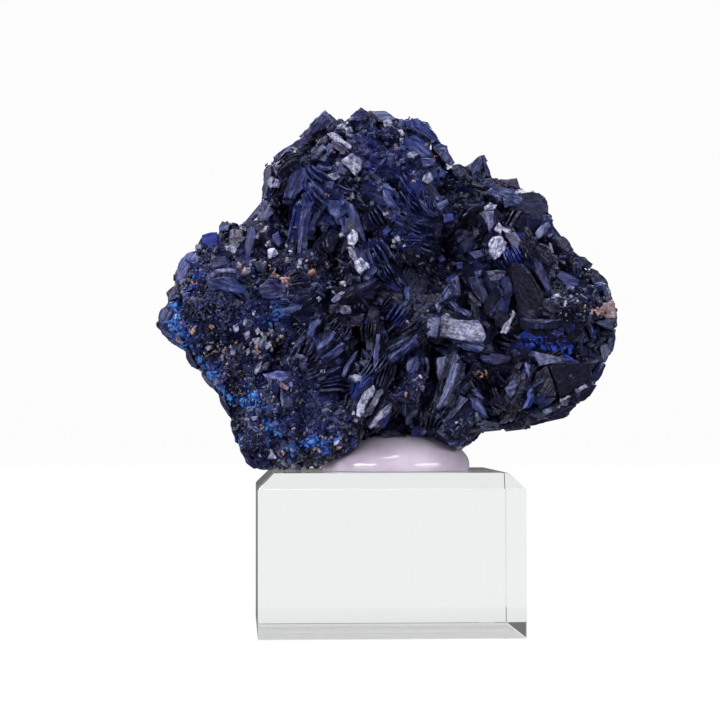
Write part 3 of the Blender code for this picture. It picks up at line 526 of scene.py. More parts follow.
         ((280, 388), (282, 389), (285, 402), (282, 407), (280, 398))),
    Face("book_left", "silver_glint", 68, -20, 8,
         ((365, 388), (374, 385), (375, 391), (366, 405), (362, 418), (356, 416), (357, 405))),
    Face("book_middle", "silver_glint_dim", 62, -15, 8,
         ((376, 390), (383, 388), (381, 396), (374, 408), (366, 417), (363, 416), (368, 405))),
    Face("book_right", "silver_glint_dim", 55, -15, 8,
         ((386, 406), (392, 402), (390, 410), (380, 420), (371, 429), (368, 427), (374, 418))),
    Face("lying_blade", "silver_glint", -6, 0, 25,
         ((349, 376), (356, 374), (366, 378), (374, 378), (366, 383), (355, 380))),
    Face("leaning_blade", "leaf_light", 58, -15, 5,
         ((341, 375), (346, 364), (354, 352), (358, 350), (356, 358), (348, 370), (344, 377))),
    Face("upright_blade", "leaf", 87, 15, 0,
         ((374, 372), (374, 352), (377, 334), (380, 334), (379, 352), (379, 372), (376, 375))),
    Face("upright_chip", "slate", -40, 10, 5, ((362, 348), (367, 352), (371, 358), (366, 357))),
    Face("crossing_blade", "leaf_light", 40, -10, 10,
         ((387, 362), (393, 353), (402, 346), (410, 341), (417, 334), (418, 337), (410, 346), (400, 352),
          (392, 361))),
    Face("fan_line_one", "leaf", 40, -10, 10,
         ((319, 357), (330, 351), (341, 342), (345, 344), (334, 354), (322, 360))),
    Face("fan_line_two", "leaf", 50, -10, 10,
         ((316, 347), (325, 340), (333, 331), (337, 333), (329, 343), (319, 350))),
    Face("fan_line_three", "leaf", 30, -10, 10,
         ((322, 371), (336, 366), (342, 367), (334, 371), (325, 375))),
    Face("vee_left", "silver_glint_dim", 62, -10, 5,
         ((254, 373), (258, 364), (262, 361), (260, 369), (256, 375))),
    Face("vee_right", "silver_glint_dim", 30, 10, 20,
         ((261, 366), (266, 362), (270, 362), (267, 366), (262, 369))),
    Face("left_glint_one", "silver_glint", 60, -10, 8, ((243, 334), (249, 328), (250, 333), (246, 340))),
    Face("left_glint_two", "pearl_glint", 60, -15, 8, ((254, 330), (258, 327), (260, 331), (257, 335))),
    Face("left_glint_three", "pearl_glint", 70, -15, 8, ((252, 339), (257, 337), (258, 343), (254, 347))),
    Face("left_glint_four", "silver_glint", 60, 10, 8, ((262, 338), (266, 335), (267, 340), (263, 342))),
    Face("left_glint_five", "lilac_bright", 60, -12, 8, ((264, 343), (270, 341), (272, 346), (266, 350))),
    Face("left_glint_six", "pearl_glint", 80, 15, 8, ((270, 349), (273, 347), (273, 352), (270, 352))),
    Face("left_glint_seven", "silver_glint_dim", 80, 15, 8, ((246, 350), (250, 347), (250, 353), (247, 356))),
    Face("left_lilac_chip", "lilac_bright", 70, -12, 8, ((233, 326), (238, 323), (239, 330), (235, 333))),
    Face("foot_speck", "lilac_bright", 0, 0, 15, ((251, 417), (258, 415), (259, 419), (253, 421))),
    Face("foot_speck_high", "silver_glint_dim", 30, 0, 15, ((246, 408), (254, 407), (253, 411), (247, 412))),
    Face("foot_pale_line", "silver_glint", -65, 0, 10, ((269, 449), (272, 449), (277, 458), (275, 459))),
    Face("foot_edge_chip", "silver_glint", 10, 0, 10, ((334, 441), (340, 440), (338, 444), (334, 446))),
    Face("foot_glint", "pearl_glint", 0, 0, 10, ((352, 412), (354, 410), (355, 414), (353, 415))),
    Face("left_tip_glint", "pearl_glint", 0, 0, 10, ((170, 299), (173, 298), (174, 301), (171, 302))),
    Face("left_pale_slab", "lilac_dim", 20, -10, 10, ((182, 294), (190, 292), (189, 299), (184, 301))),
)

# Bright cobalt crust, and a painted rim reflection: pixel of the middle, half width and half height in
# millimetres, strength
# The painted rim reflection is the row of patches along the left lobe's lower rim, which turns azure
Patch = namedtuple("Patch", "px py wide high strength")
COBALT_AND_RIM_REFLECTION_PATCHES = [Patch(*entry) for entry in (
    (547, 344, 3.6, 0.9, 1.0), (540, 340, 1.0, 0.8, 0.9), (565, 347, 1.6, 0.6, 0.9),
    (529, 346, 1.0, 0.5, 0.8), (176, 310, 0.9, 1.8, 0.9), (178, 322, 0.8, 1.6, 0.8),
    (186, 337, 0.7, 1.6, 0.7), (199, 276, 1.0, 0.8, 0.6), (193, 289, 1.0, 0.8, 0.6),
    (268, 319, 1.1, 1.0, 0.7), (254, 396, 1.3, 0.9, 1.0), (247, 402, 0.9, 0.6, 0.8),
    (268, 408, 0.9, 0.7, 0.6), (270, 425, 1.2, 0.9, 1.0), (277, 432, 1.1, 0.7, 0.9),
    (288, 447, 1.0, 0.7, 1.0), (293, 453, 0.9, 0.6, 0.9), (307, 443, 1.1, 0.7, 0.9),
    (319, 440, 1.2, 1.1, 1.0), (324, 449, 0.9, 0.8, 0.8), (190, 348, 1.1, 1.0, 0.85),
    (203, 362, 1.2, 1.0, 0.8), (213, 376, 1.0, 1.4, 0.85), (223, 391, 0.9, 1.4, 0.9),
    (230, 405, 0.9, 1.5, 0.9), (235, 422, 0.8, 1.8, 0.9), (241, 438, 0.7, 1.4, 0.7),
    (415, 434, 2.6, 1.4, 0.4), (412, 200, 5.0, 3.4, 0.16), (310, 200, 5.0, 4.5, 0.14),
    (400, 232, 4.0, 2.4, 0.12), (372, 262, 2.4, 4.0, 0.14), (505, 275, 4.0, 2.0, 0.10),
    (168, 322, 1.0, 2.2, 0.7), (178, 340, 0.9, 1.2, 0.7), (185, 268, 1.6, 1.8, 0.12),
    (250, 300, 9.0, 6.0, 0.06), (280, 400, 9.0, 8.0, 0.06), (400, 160, 7.0, 5.0, 0.10),
)]

# Places where druse glitters: pixel, half width and half height in millimetres, strength
GLITTER_PATCHES = [Patch(*entry) for entry in (
    (262, 338, 2.4, 1.9, 0.9), (252, 352, 1.2, 1.4, 0.5), (352, 240, 0.9, 1.8, 0.8),
    (360, 262, 1.1, 1.0, 0.7), (398, 243, 1.9, 1.2, 0.7), (184, 270, 1.2, 1.8, 0.7),
    (172, 330, 1.0, 1.2, 0.4), (256, 285, 1.0, 1.0, 0.5), (242, 270, 1.2, 0.5, 0.5),
    (222, 345, 2.2, 1.0, 0.35), (345, 125, 3.0, 1.6, 0.35), (420, 130, 2.6, 2.2, 0.35),
    (405, 120, 2.0, 1.0, 0.4), (560, 300, 1.4, 1.0, 0.4), (250, 417, 1.0, 0.8, 0.6),
    (345, 290, 2.0, 1.4, 0.35), (600, 300, 1.4, 1.2, 0.35),
)]

# Clay flecks: pixel, heading, length and width in millimetres
Fleck = namedtuple("Fleck", "px py heading length width")
FLECKS = [Fleck(*entry) for entry in (
    (269, 264, -38, 1.7, 0.45), (277, 273, -35, 1.4, 0.6), (288, 283, -50, 1.3, 1.0),
    (353, 323, -4, 2.2, 0.8), (364, 326, -6, 1.3, 0.4), (594, 310, -20, 1.4, 0.7),
    (601, 314, -5, 1.8, 0.6), (606, 307, -50, 1.2, 0.5), (609, 303, -50, 1.0, 0.4),
    (476, 373, -20, 1.7, 0.6), (484, 376, -30, 0.9, 0.6), (397, 150, 80, 1.1, 0.5),
    (415, 180, -40, 0.7, 0.5), (192, 283, -40, 0.9, 0.4), (199, 283, 80, 0.9, 0.4),
    (195, 329, 60, 1.2, 0.7), (208, 354, 25, 1.1, 0.4), (218, 352, 10, 1.2, 0.4), (226, 352, 70, 0.8, 0.5),
    (247, 378, 10, 0.9, 0.4), (229, 373, -40, 0.9, 0.35), (259, 350, -60, 1.3, 0.5),
    (274, 345, 30, 0.9, 0.7), (282, 335, 0, 1.0, 0.4), (278, 321, 60, 0.9, 0.5), (261, 234, 70, 0.8, 0.35),
    (327, 195, -10, 0.8, 0.35), (300, 323, -5, 1.6, 0.25), (262, 428, 60, 0.6, 0.4),
    (284, 453, -70, 0.8, 0.45), (325, 437, -20, 1.1, 0.45), (314, 448, 60, 1.2, 0.3),
    (236, 393, -30, 0.7, 0.35), (246, 394, 20, 0.8, 0.4), (331, 152, 0, 0.6, 0.3),
    (402, 334, 10, 0.9, 0.5), (372, 225, -6, 2.2, 0.22), (350, 200, -20, 0.8, 0.25),
    (313, 424, 0, 0.9, 0.25), (434, 157, 20, 0.7, 0.35),
)]


# Small helpers

def deselect_all():
    for obj in bpy.context.selected_objects:
        obj.select_set(False)


def select_only(obj):
    deselect_all()
    obj.select_set(True)
    bpy.context.view_layer.objects.active = obj


def sides_of(corners):
    """Each corner of a closed outline with the next one."""
    return zip(corners, corners[1:] + corners[:1])


def choose(mesh, kind, test):
    """In edit mode, selects the faces, edges or verts that pass a test, and nothing else."""
    bm = bmesh.from_edit_mesh(mesh)
    for group in (bm.verts, bm.edges, bm.faces):
        for item in group:
            item.select = False
    for item in getattr(bm, kind):
        if test(item):
            item.select_set(True)
    bmesh.update_edit_mesh(mesh)


def middle_of(edge):
    return (edge.verts[0].co + edge.verts[1].co) / 2


def apply_modifiers(obj):
    bpy.context.view_layer.objects.active = obj
    for modifier in list(obj.modifiers):
        bpy.ops.object.modifier_apply(modifier=modifier.name)


def new_object(name, mesh):
    obj = bpy.data.objects.new(name, mesh)
    bpy.context.scene.collection.objects.link(obj)
    return obj


def finish_piece(obj, replaced=None):
    """A finished piece rides on the one body, and the part it replaces is hidden."""
    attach(obj, "root")
    if replaced:
        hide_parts(replaced)


def tilted(direction, axis, degrees):
    return Matrix.Rotation(math.radians(degrees), 3, axis) @ direction


def mixed(a, b, share):
    return (a * (1.0 - share) + b * share).normalized()


# Camera and sight lines

def view_axes():
    """Forward, right and up of the camera."""
    forward = Vector(
        (
            math.sin(CAMERA_YAW) * math.cos(CAMERA_PITCH),
            math.cos(CAMERA_YAW) * math.cos(CAMERA_PITCH),
            math.sin(CAMERA_PITCH),
        )
    )
    level_right = Vector((math.cos(CAMERA_YAW), -math.sin(CAMERA_YAW), 0.0))
    level_up = level_right.cross(forward)
    right = level_right * math.cos(CAMERA_ROLL) + level_up * math.sin(CAMERA_ROLL)
    return forward, right, right.cross(forward)


FORWARD, RIGHT, UP = view_axes()
MIDDLE_PIXEL = PICTURE_PIXELS / 2


def sight(px, py):
    """The direction from the camera through a pixel."""
    across = (px - MIDDLE_PIXEL) / FOCAL_PIXELS
    down = (py - MIDDLE_PIXEL) / FOCAL_PIXELS
    return (FORWARD + RIGHT * across - UP * down).normalized()


def pixels_of(points):
    """Where points, an array in metres, show in the picture, and how far in front of the camera they are."""
    away = points - np.array(CAMERA_PLACE)
    depth = away @ np.array(FORWARD)
    px = MIDDLE_PIXEL + FOCAL_PIXELS * (away @ np.array(RIGHT)) / depth
    py = MIDDLE_PIXEL - FOCAL_PIXELS * (away @ np.array(UP)) / depth
    return px, py, depth


def picture_heading(degrees):
    """A direction in the picture's plane, in degrees from its right."""
    angle = math.radians(degrees)
    return RIGHT * math.cos(angle) + UP * math.sin(angle)


def facing(yaw, pitch):
    """The normal of a face that turns aside and up from facing the camera, in degrees."""
    side, rise = math.radians(yaw), math.radians(pitch)
    return (-FORWARD * math.cos(side) + RIGHT * math.sin(side)) * math.cos(rise) + UP * math.sin(rise)


def place_camera():
    data = bpy.data.cameras.new("camera")
    data.sensor_width = SENSOR_MM
    data.lens = SENSOR_MM * FOCAL_PIXELS / PICTURE_PIXELS
    data.clip_start = 0.01
    camera = new_object("camera", data)
    turn = Matrix((RIGHT, UP, -FORWARD)).transposed().to_4x4()
    camera.matrix_world = Matrix.Translation(CAMERA_PLACE) @ turn
    bpy.context.scene.camera = camera


def polygon_field(x, y, corners):
    """How far the points of a grid are from a polygon's nearest side, and whether they lie inside it."""
    nearest = np.full(x.shape, np.inf)
    inside = np.zeros(x.shape, bool)
    for (ax, ay), (bx, by) in sides_of(corners):
        dx, dy = bx - ax, by - ay
        share = np.clip(((x - ax) * dx + (y - ay) * dy) / (dx * dx + dy * dy), 0.0, 1.0)
        nearest = np.minimum(nearest, np.hypot(x - ax - share * dx, y - ay - share * dy))
        if dy:
            inside ^= ((ay > y) != (by > y)) & (x < dx * (y - ay) / dy + ax)
    return nearest, inside


class Outline:
    """How far pixels lie outside the specimen's outline, negative inside, on a coarse grid."""

    STEP = 2

    def __init__(self):
        line = np.arange(0, PICTURE_PIXELS + self.STEP, self.STEP)
        x, y = np.meshgrid(line, line)
        nearest, inside = polygon_field(x, y, OUTLINE)
        self.gap = np.where(inside, -nearest, nearest)
        self.slope_y, self.slope_x = np.gradient(self.gap, self.STEP)

    def read(self, field, px, py):
        """A field of the grid between its points."""
        last = field.shape[0] - 1.001
        x, y = np.clip(px / self.STEP, 0, last), np.clip(py / self.STEP, 0, last)
        column, row = x.astype(int), y.astype(int)
        u, v = x - column, y - row
        upper = field[row, column] * (1 - u) + field[row, column + 1] * u
        lower = field[row + 1, column] * (1 - u) + field[row + 1, column + 1] * u
        return upper * (1 - v) + lower * v

    def pull_inside(self, shapes, slack=0.0):
        """Moves whole shapes, each a row of points, sideways until none shows more than the slack outside."""
        rows = np.arange(len(shapes))
        for _ in range(3):
            px, py, depth = pixels_of(shapes)
            gap = self.read(self.gap, px, py)
            worst = gap.argmax(axis=1)
            px, py, depth = px[rows, worst], py[rows, worst], depth[rows, worst]
            move = np.maximum(gap[rows, worst] - slack, 0.0) * depth / FOCAL_PIXELS
            aside = self.read(self.slope_x, px, py) * move
            rise = -self.read(self.slope_y, px, py) * move
            shapes -= (aside[:, None] * np.array(RIGHT) + rise[:, None] * np.array(UP))[:, None, :]
        return shapes


# The mass that carries everything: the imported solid, welded, with its recesses deepened

# How far in front of and behind its middle a hollow reaches, and how steep its sides are
HOLLOW_REACH = 7.0
HOLLOW_STEEPNESS = 1.5

# The tip of the left lobe: its middle, how far around it the mass moves, where to, and its gap to the block
TIP_MIDDLE = Vector((-17.8, -5.0, 24.6))
TIP_REACH = 6.0
TIP_MOVE = Vector((-0.8, -2.6, -1.2))
TIP_CLEARANCE = 0.25


def welded_mass():
    """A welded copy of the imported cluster, its flat facets whole again."""
    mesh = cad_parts["azurite_cluster"].data.copy()
    mesh.name = "azurite_mass"
    bm = bmesh.new()
    bm.from_mesh(mesh)
    bmesh.ops.remove_doubles(bm, verts=bm.verts, dist=0.002 * MM)
    bm.to_mesh(mesh)
    bm.free()
    return new_object("azurite_mass", mesh)


def ground_of(obj):
    """The tree that finds points on a mesh."""
    bm = bmesh.new()
    bm.from_mesh(obj.data)
    bmesh.ops.triangulate(bm, faces=bm.faces)
    tree = BVHTree.FromBMesh(bm)
    bm.free()
    return tree


def seen_point(ground, px, py):
    """Where a sight line meets the mass, and the facet's normal, or None."""
    place, normal, _, _ = ground.ray_cast(CAMERA_PLACE, sight(px, py))
    return (place, normal) if place else None


def hollow_share(place, hollow, middle):
    """How deep in a hollow a place is, from 0 at its rim to 1."""
    gap = (place - middle) / MM
    across = gap.dot(RIGHT) / hollow.wide
    along = gap.dot(UP) / hollow.high
    if abs(gap.dot(FORWARD)) > HOLLOW_REACH:
        return 0.0
    return max(0.0, 1.0 - across * across - along * along)


def deepen_hollows(mass, hollows):
    """Pushes the mass in where the picture is darkest."""
    for vert in mass.data.vertices:
        deepest = 0.0
        for hollow, middle in hollows:
            deepest = max(deepest, hollow.deep * hollow_share(vert.co, hollow, middle) ** HOLLOW_STEEPNESS)
        vert.co += FORWARD * deepest * MM


def keep_to_outline(mass, outline):
    """Draws the mass in where it shows outside the outline."""
    places = np.array([vert.co[:] for vert in mass.data.vertices])
    places = outline.pull_inside(places[:, None, :])[:, 0, :]
    mass.data.vertices.foreach_set("co", places.ravel())


def lower_tip(mass):
    """Draws the tip of the left lobe forward and down, until it almost rests on the block."""
    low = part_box("clear_block")[1][2] + TIP_CLEARANCE * MM
    for vert in mass.data.vertices:
        near = max(0.0, 1.0 - (vert.co / MM - TIP_MIDDLE).length / TIP_REACH)
        vert.co += TIP_MOVE * MM * near
        vert.co.z = max(vert.co.z, low)


def nearest_centre(place):
    """The growth centre that a point belongs to: the one whose sphere it is deepest in."""
    return min(CENTRES, key=lambda centre: (place / MM - Vector(centre.place)).length - centre.reach)


def outward_at(place):
    return (place / MM - Vector(nearest_centre(place).place)).normalized()


# Crystal forms, each modelled once. +Y is the way it grows and +Z looks out of the rock.

def box(name, size, middle):
    """Starts a piece as a box and leaves it in edit mode."""
    deselect_all()
    bpy.ops.mesh.primitive_cube_add(size=1.0, location=middle)
    obj = bpy.context.object
    obj.name = name
    obj.scale = size
    bpy.ops.object.transform_apply(location=True, rotation=True, scale=True)
    bpy.ops.object.mode_set(mode="EDIT")
    bpy.ops.mesh.select_mode(type="EDGE")
    return obj


def end_editing():
    bpy.ops.object.mode_set(mode="OBJECT")


def cut_edges(obj, test, offset):
    choose(obj.data, "edges", test)
    bpy.ops.mesh.bevel(offset=offset * MM, segments=1, affect="EDGES")


def ease_edges(obj, width, angle, segments=1, flat_faces=False):
    """Bevels the edges that turn by more than an angle in degrees."""
    ease = obj.modifiers.new("eased edges", "BEVEL")
    ease.width = width * MM
    ease.segments = segments
    ease.limit_method = "ANGLE"
    ease.angle_limit = math.radians(angle)
    ease.harden_normals = flat_faces
    apply_modifiers(obj)


def crosswise(edge):
    """Whether an edge runs across a blade's thickness."""
    run = edge.verts[1].co - edge.verts[0].co
    return abs(run.x) > 3.0 * abs(run.y) and abs(run.x) > 3.0 * abs(run.z)


def blade(thickness, length, depth, bow, rng):
    """A thin plate on its edge: outer corners cut, outer edge sharper and chipped, and it may bow."""
    plate = box("blade", Vector((thickness, length, depth)) * MM, Vector((0.0, length / 2, depth / 2)) * MM)
    end, top = length * MM, depth * MM
    choose(plate.data, "faces", lambda face: face.calc_center_median().z > 0.9 * top)
    bpy.ops.transform.resize(value=(0.8, 1.0, 1.0))
    cuts = ((0.9 * end, end * 1.1, rng.uniform(0.25, 0.85)), (-0.1 * end, 0.1 * end, rng.uniform(0.1, 0.6)))
    for low, high, share in cuts:
        cut_edges(
            plate,
            lambda edge: crosswise(edge) and low < middle_of(edge).y < high and middle_of(edge).z > 0.5 * top,
            share * depth,
        )
    choose(plate.data, "edges", lambda edge: abs(edge.verts[0].co.y - edge.verts[1].co.y) > 0.3 * end)
    bpy.ops.mesh.subdivide(number_cuts=2)
    end_editing()
    chips = {}
    for vert in plate.data.vertices:
        share = vert.co.y / end - 0.5
        vert.co.x += bow * MM * (1.0 - 4.0 * share * share)
        if vert.co.z > 0.8 * top:
            vert.co.z += chips.setdefault(round(vert.co.y / MM, 2), rng.uniform(-0.12, 0.06)) * top
    return plate


def join_parts(name, parts):
    deselect_all()
    for part in parts:
        part.select_set(True)
    bpy.context.view_layer.objects.active = parts[0]
    bpy.ops.object.join()
    parts[0].name = name
    return parts[0]


def book(name, count, length, depth, thickness, fan, bow, seed):
    """Plates side by side like pages: each a little longer, shorter or deeper, opening like a fan."""
    rng = random.Random(seed)
    widths = [thickness * rng.uniform(0.6, 1.5) for _ in range(count)]
    across = -sum(widths) / 2
    parts = []
    for index, width in enumerate(widths):
        side = index - (count - 1) / 2
        long = length * rng.uniform(0.55, 1.0)
        deep = depth * rng.uniform(0.84, 1.0)
        page = blade(width, long, deep, bow, rng)
        turn = Matrix.Rotation(math.radians(-fan * side), 4, "Z")
        tilt = Matrix.Rotation(math.radians(fan * 1.4 * side), 4, "Y")
        place = (across + width / 2, rng.uniform(0.0, length - long), 0.0)
        page.data.transform(Matrix.Translation(Vector(place) * MM) @ turn @ tilt)
        across += width * 0.96
        parts.append(page)
    return join_parts(name, parts)


def stubby(name, width, length, height, lean, cut):
    """A stubby crystal: a box whose top is narrowed and pushed aside, with two edges cut."""
    crystal = box(name, Vector((width, length, height)) * MM, Vector((0.0, 0.0, height / 2)) * MM)
    top = height * MM
    choose(crystal.data, "faces", lambda face: face.calc_center_median().z > 0.9 * top)
    bpy.ops.transform.resize(value=(0.7, 0.78, 1.0))
    bpy.ops.transform.translate(value=(lean * MM, 0.4 * lean * MM, 0.0))

    def at_top_side(edge):
        return middle_of(edge).z > 0.9 * top and middle_of(edge).x > (lean + 0.1) * MM

    def upright_behind(edge):
        return abs(edge.verts[0].co.z - edge.verts[1].co.z) > 0.5 * top and middle_of(edge).y > 0

    cut_edges(crystal, at_top_side, cut)
    cut_edges(crystal, upright_behind, cut * 0.6)
    end_editing()
    ease_edges(crystal, 0.16, 20)
    return crystal


def grain(name, height, cut):
    """A tiny crystal for druse: a narrowed cube with one edge cut."""
    speck = box(name, Vector((1.0, 1.2, height)) * MM, Vector((0.0, 0.0, height / 2 - 0.2)) * MM)
    choose(speck.data, "faces", lambda face: face.normal.z > 0.9)
    bpy.ops.transform.resize(value=(0.6, 0.75, 1.0))
    cut_edges(speck, lambda edge: middle_of(edge).z > 0.3 * MM and middle_of(edge).x > 0.2 * MM, cut)
    end_editing()
    return speck


def flake(name):
    """A torn flake of clay: a ball whose points are moved by noise."""
    deselect_all()
    bpy.ops.mesh.primitive_ico_sphere_add(subdivisions=2, radius=0.5 * MM, location=(0.0, 0.0, 0.0))
    lump = bpy.context.object
    lump.name = name
    texture = bpy.data.textures.new(name, "CLOUDS")
    texture.noise_scale = 0.3 * MM
    rough = lump.modifiers.new("rough", "DISPLACE")
    rough.texture = texture
    rough.strength = 0.7 * MM
    rough.mid_level = 0.5
    apply_modifiers(lump)
    return lump


class Form:
    """A modelled crystal as arrays, ready to be copied many times."""

    def __init__(self, obj):
        mesh = obj.data
        self.points = np.empty(len(mesh.vertices) * 3)
        mesh.vertices.foreach_get("co", self.points)
        self.points = self.points.reshape(-1, 3)
        self.starts = np.empty(len(mesh.polygons), int)
        self.totals = np.empty(len(mesh.polygons), int)
        self.corners = np.empty(len(mesh.loops), int)
        mesh.polygons.foreach_get("loop_start", self.starts)
        mesh.polygons.foreach_get("loop_total", self.totals)
        mesh.loops.foreach_get("vertex_index", self.corners)
        # Painted shade and light: crystals are darker towards the foot, deep among their neighbours where
        # shade falls, and a little lighter at the tip
        height = self.points[:, 2] / self.points[:, 2].max()
        self.fade = np.ones(len(height)) if obj.name == "flake" else 0.3 + 0.85 * np.clip(height, 0.0, 1.0)
        # Streaks run along the growth direction, and their width runs round the crystal, over side and top
        self.streak = self.points[self.corners][:, (0, 1)] / MM
        self.streak[:, 0] += 0.9 * self.points[self.corners][:, 2] / MM
        bpy.data.objects.remove(obj, do_unlink=True)


def make_forms():
    """The crystal forms by name."""
    made = (
        book("book_tight", 6, 4.2, 1.8, 0.28, 1.5, 0.0, 1),
        book("book_open", 5, 5.0, 2.2, 0.34, 4.0, 0.0, 2),
        book("book_short", 5, 2.8, 1.5, 0.30, 3.0, 0.0, 3),
        book("book_fine", 8, 3.4, 1.4, 0.18, 1.2, 0.0, 4),
        book("book_bowed", 5, 5.2, 2.0, 0.26, 5.0, 0.35, 5),
        book("rosette", 7, 3.2, 1.8, 0.24, 10.0, 0.0, 6),
        book("slab_pair", 2, 5.4, 3.0, 0.60, 5.0, 0.0, 7),
        book("slab_triple", 3, 4.4, 2.6, 0.46, 4.0, 0.0, 8),
        book("single_blade", 1, 4.0, 1.6, 0.34, 0.0, 0.0, 9),
        stubby("stubby_flat", 2.0, 2.4, 1.5, 0.25, 0.35),
        stubby("stubby_tall", 1.5, 1.7, 2.1, -0.3, 0.3),
        stubby("stubby_wedge", 2.3, 1.6, 1.3, 0.45, 0.5),
        stubby("stubby_long", 1.3, 3.0, 1.4, 0.15, 0.3),
        grain("grain_low", 0.9, 0.25),
        grain("grain_tall", 1.4, 0.18),
        flake("flake"),
    )
    return {obj.name: Form(obj) for obj in made}


# Joined meshes of many copies

# What growth needs: the mass, the tree that finds points on it, its outline, how crystals lie, and the forms
Rock = namedtuple("Rock", "mass ground outline lay forms")
Copy = namedtuple("Copy", "form turn tint")

# Copies may show up to this many pixels outside the outline, each another share of it
OUTLINE_SLACK = 0.9
GOLDEN_SHARE = 0.618


def joined(rock, name, copies):
    """One mesh of all copies. Each carries its tint, and streak coordinates in millimetres."""
    points, corners, starts, totals, tints, streaks = [], [], [], [], [], []
    point_count = 0
    corner_count = 0
    for form_name in sorted({copy.form for copy in copies}):
        form = rock.forms[form_name]
        own = [copy for copy in copies if copy.form == form_name]
        turns = np.array([np.array(copy.turn) for copy in own])
        tint = np.array([copy.tint for copy in own])
        count, size, loops = len(own), len(form.points), len(form.corners)
        moved = np.einsum("kij,nj->kni", turns[:, :3, :3], form.points) + turns[:, None, :3, 3]
        slack = np.arange(count) * GOLDEN_SHARE % 1.0 * OUTLINE_SLACK
        points.append(rock.outline.pull_inside(moved, slack).reshape(-1, 3))
        offsets = point_count + size * np.arange(count)
        corners.append((form.corners[None, :] + offsets[:, None]).ravel())
        offsets = corner_count + loops * np.arange(count)
        starts.append((form.starts[None, :] + offsets[:, None]).ravel())
        totals.append(np.tile(form.totals, count))
        # The painted foot shade scales every share of each copy's tint
        tints.append((tint[:, None, :] * form.fade[None, :, None]).reshape(-1, 4))
        stretch = np.linalg.norm(turns[:, :3, :2], axis=1)
        shift = turns[:, None, :2, 3] / MM * 1.7
        streaks.append((form.streak[None, :, :] * stretch[:, None, :] + shift).reshape(-1, 2))
        point_count += count * size
        corner_count += count * loops
    mesh = bpy.data.meshes.new(name)
    mesh.vertices.add(point_count)
    mesh.vertices.foreach_set("co", np.concatenate(points).ravel())
    mesh.loops.add(corner_count)
    mesh.loops.foreach_set("vertex_index", np.concatenate(corners))
    starts = np.concatenate(starts)
    mesh.polygons.add(len(starts))
    mesh.polygons.foreach_set("loop_start", starts)
    mesh.polygons.foreach_set("loop_total", np.concatenate(totals))
    mesh.update(calc_edges=True)
    mesh.shade_flat()
    add_tints(mesh, np.concatenate(tints))
    add_streaks(mesh, np.concatenate(streaks))
    return new_object(name, mesh)


def add_tints(mesh, tints):
    """The finish of each point: tone with painted shade, painted glint, cobalt crust with painted rim
    reflection, and clay.
    """
    for index, name in enumerate(("tone_and_shade", "painted_glint", "cobalt", "clay")):
        attribute = mesh.attributes.new(name, "FLOAT", "POINT")
        attribute.data.foreach_set("value", tints[:, index].astype(np.float32))


def add_streaks(mesh, streaks):
    layer = mesh.uv_layers.new(name="streaks")
    layer.data.foreach_set("uv", streaks.astype(np.float32).ravel())


# Where crystals stand

def surface_points(mesh, count, draws):
    """Points spread over a mesh by area, with the normals of their facets."""
    mesh.calc_loop_triangles()
    corners = np.empty(len(mesh.loop_triangles) * 3, int)
    mesh.loop_triangles.foreach_get("vertices", corners)
    places = np.empty(len(mesh.vertices) * 3)
    mesh.vertices.foreach_get("co", places)
    triangles = places.reshape(-1, 3)[corners.reshape(-1, 3)]
    cross = np.cross(triangles[:, 1] - triangles[:, 0], triangles[:, 2] - triangles[:, 0])
    area = np.linalg.norm(cross, axis=1)
    normals = cross / np.maximum(area, 1e-15)[:, None]
    chosen = draws.choice(len(area), count, p=area / area.sum())
    a, b = draws.random(count), draws.random(count)
    flip = a + b > 1.0
    a[flip], b[flip] = 1.0 - a[flip], 1.0 - b[flip]
    corner = triangles[chosen]
    first, second, third = corner[:, 0], corner[:, 1], corner[:, 2]
    return first + a[:, None] * (second - first) + b[:, None] * (third - first), normals[chosen]


def spaced(spots, gap):
    """The indices of points kept so that none is nearer to another than gap, in millimetres."""
    reach = gap * MM
    cells = {}
    kept = []
    for index, spot in enumerate(spots):
        cell = tuple(int(v) for v in np.floor(spot / reach))
        around = (
            other
            for dx in (-1, 0, 1)
            for dy in (-1, 0, 1)
            for dz in (-1, 0, 1)
            for other in cells.get((cell[0] + dx, cell[1] + dy, cell[2] + dz), ())
        )
        if all(np.dot(spots[other] - spot, spots[other] - spot) >= reach * reach for other in around):
            cells.setdefault(cell, []).append(index)
            kept.append(index)
    return kept


Site = namedtuple("Site", "place facet heading lean habit shade cobalt glitter")

# Nothing grows on the glue or below this height
GLUE_MIDDLE = (1.6, -1.0)
GLUE_CLEAR_RADIUS = 11.6
GLUE_CLEAR_HEIGHT = 29.2
LOWEST_GROWTH = 24.1

# How far in front of and behind an outlined face other crystals keep away, and how many pixels beside it
FACE_CLEAR_BEFORE = -2.0
FACE_CLEAR_BEHIND = 6.0
FACE_CLEAR_PIXELS = 2

# How far from its place a lie or a patch counts, how far a patch spreads along Y, and how even its middle is
LIE_REACH = 6.5
PATCH_REACH = 10.0
PATCH_DEPTH = 4.0
PATCH_PLATEAU = 1.5


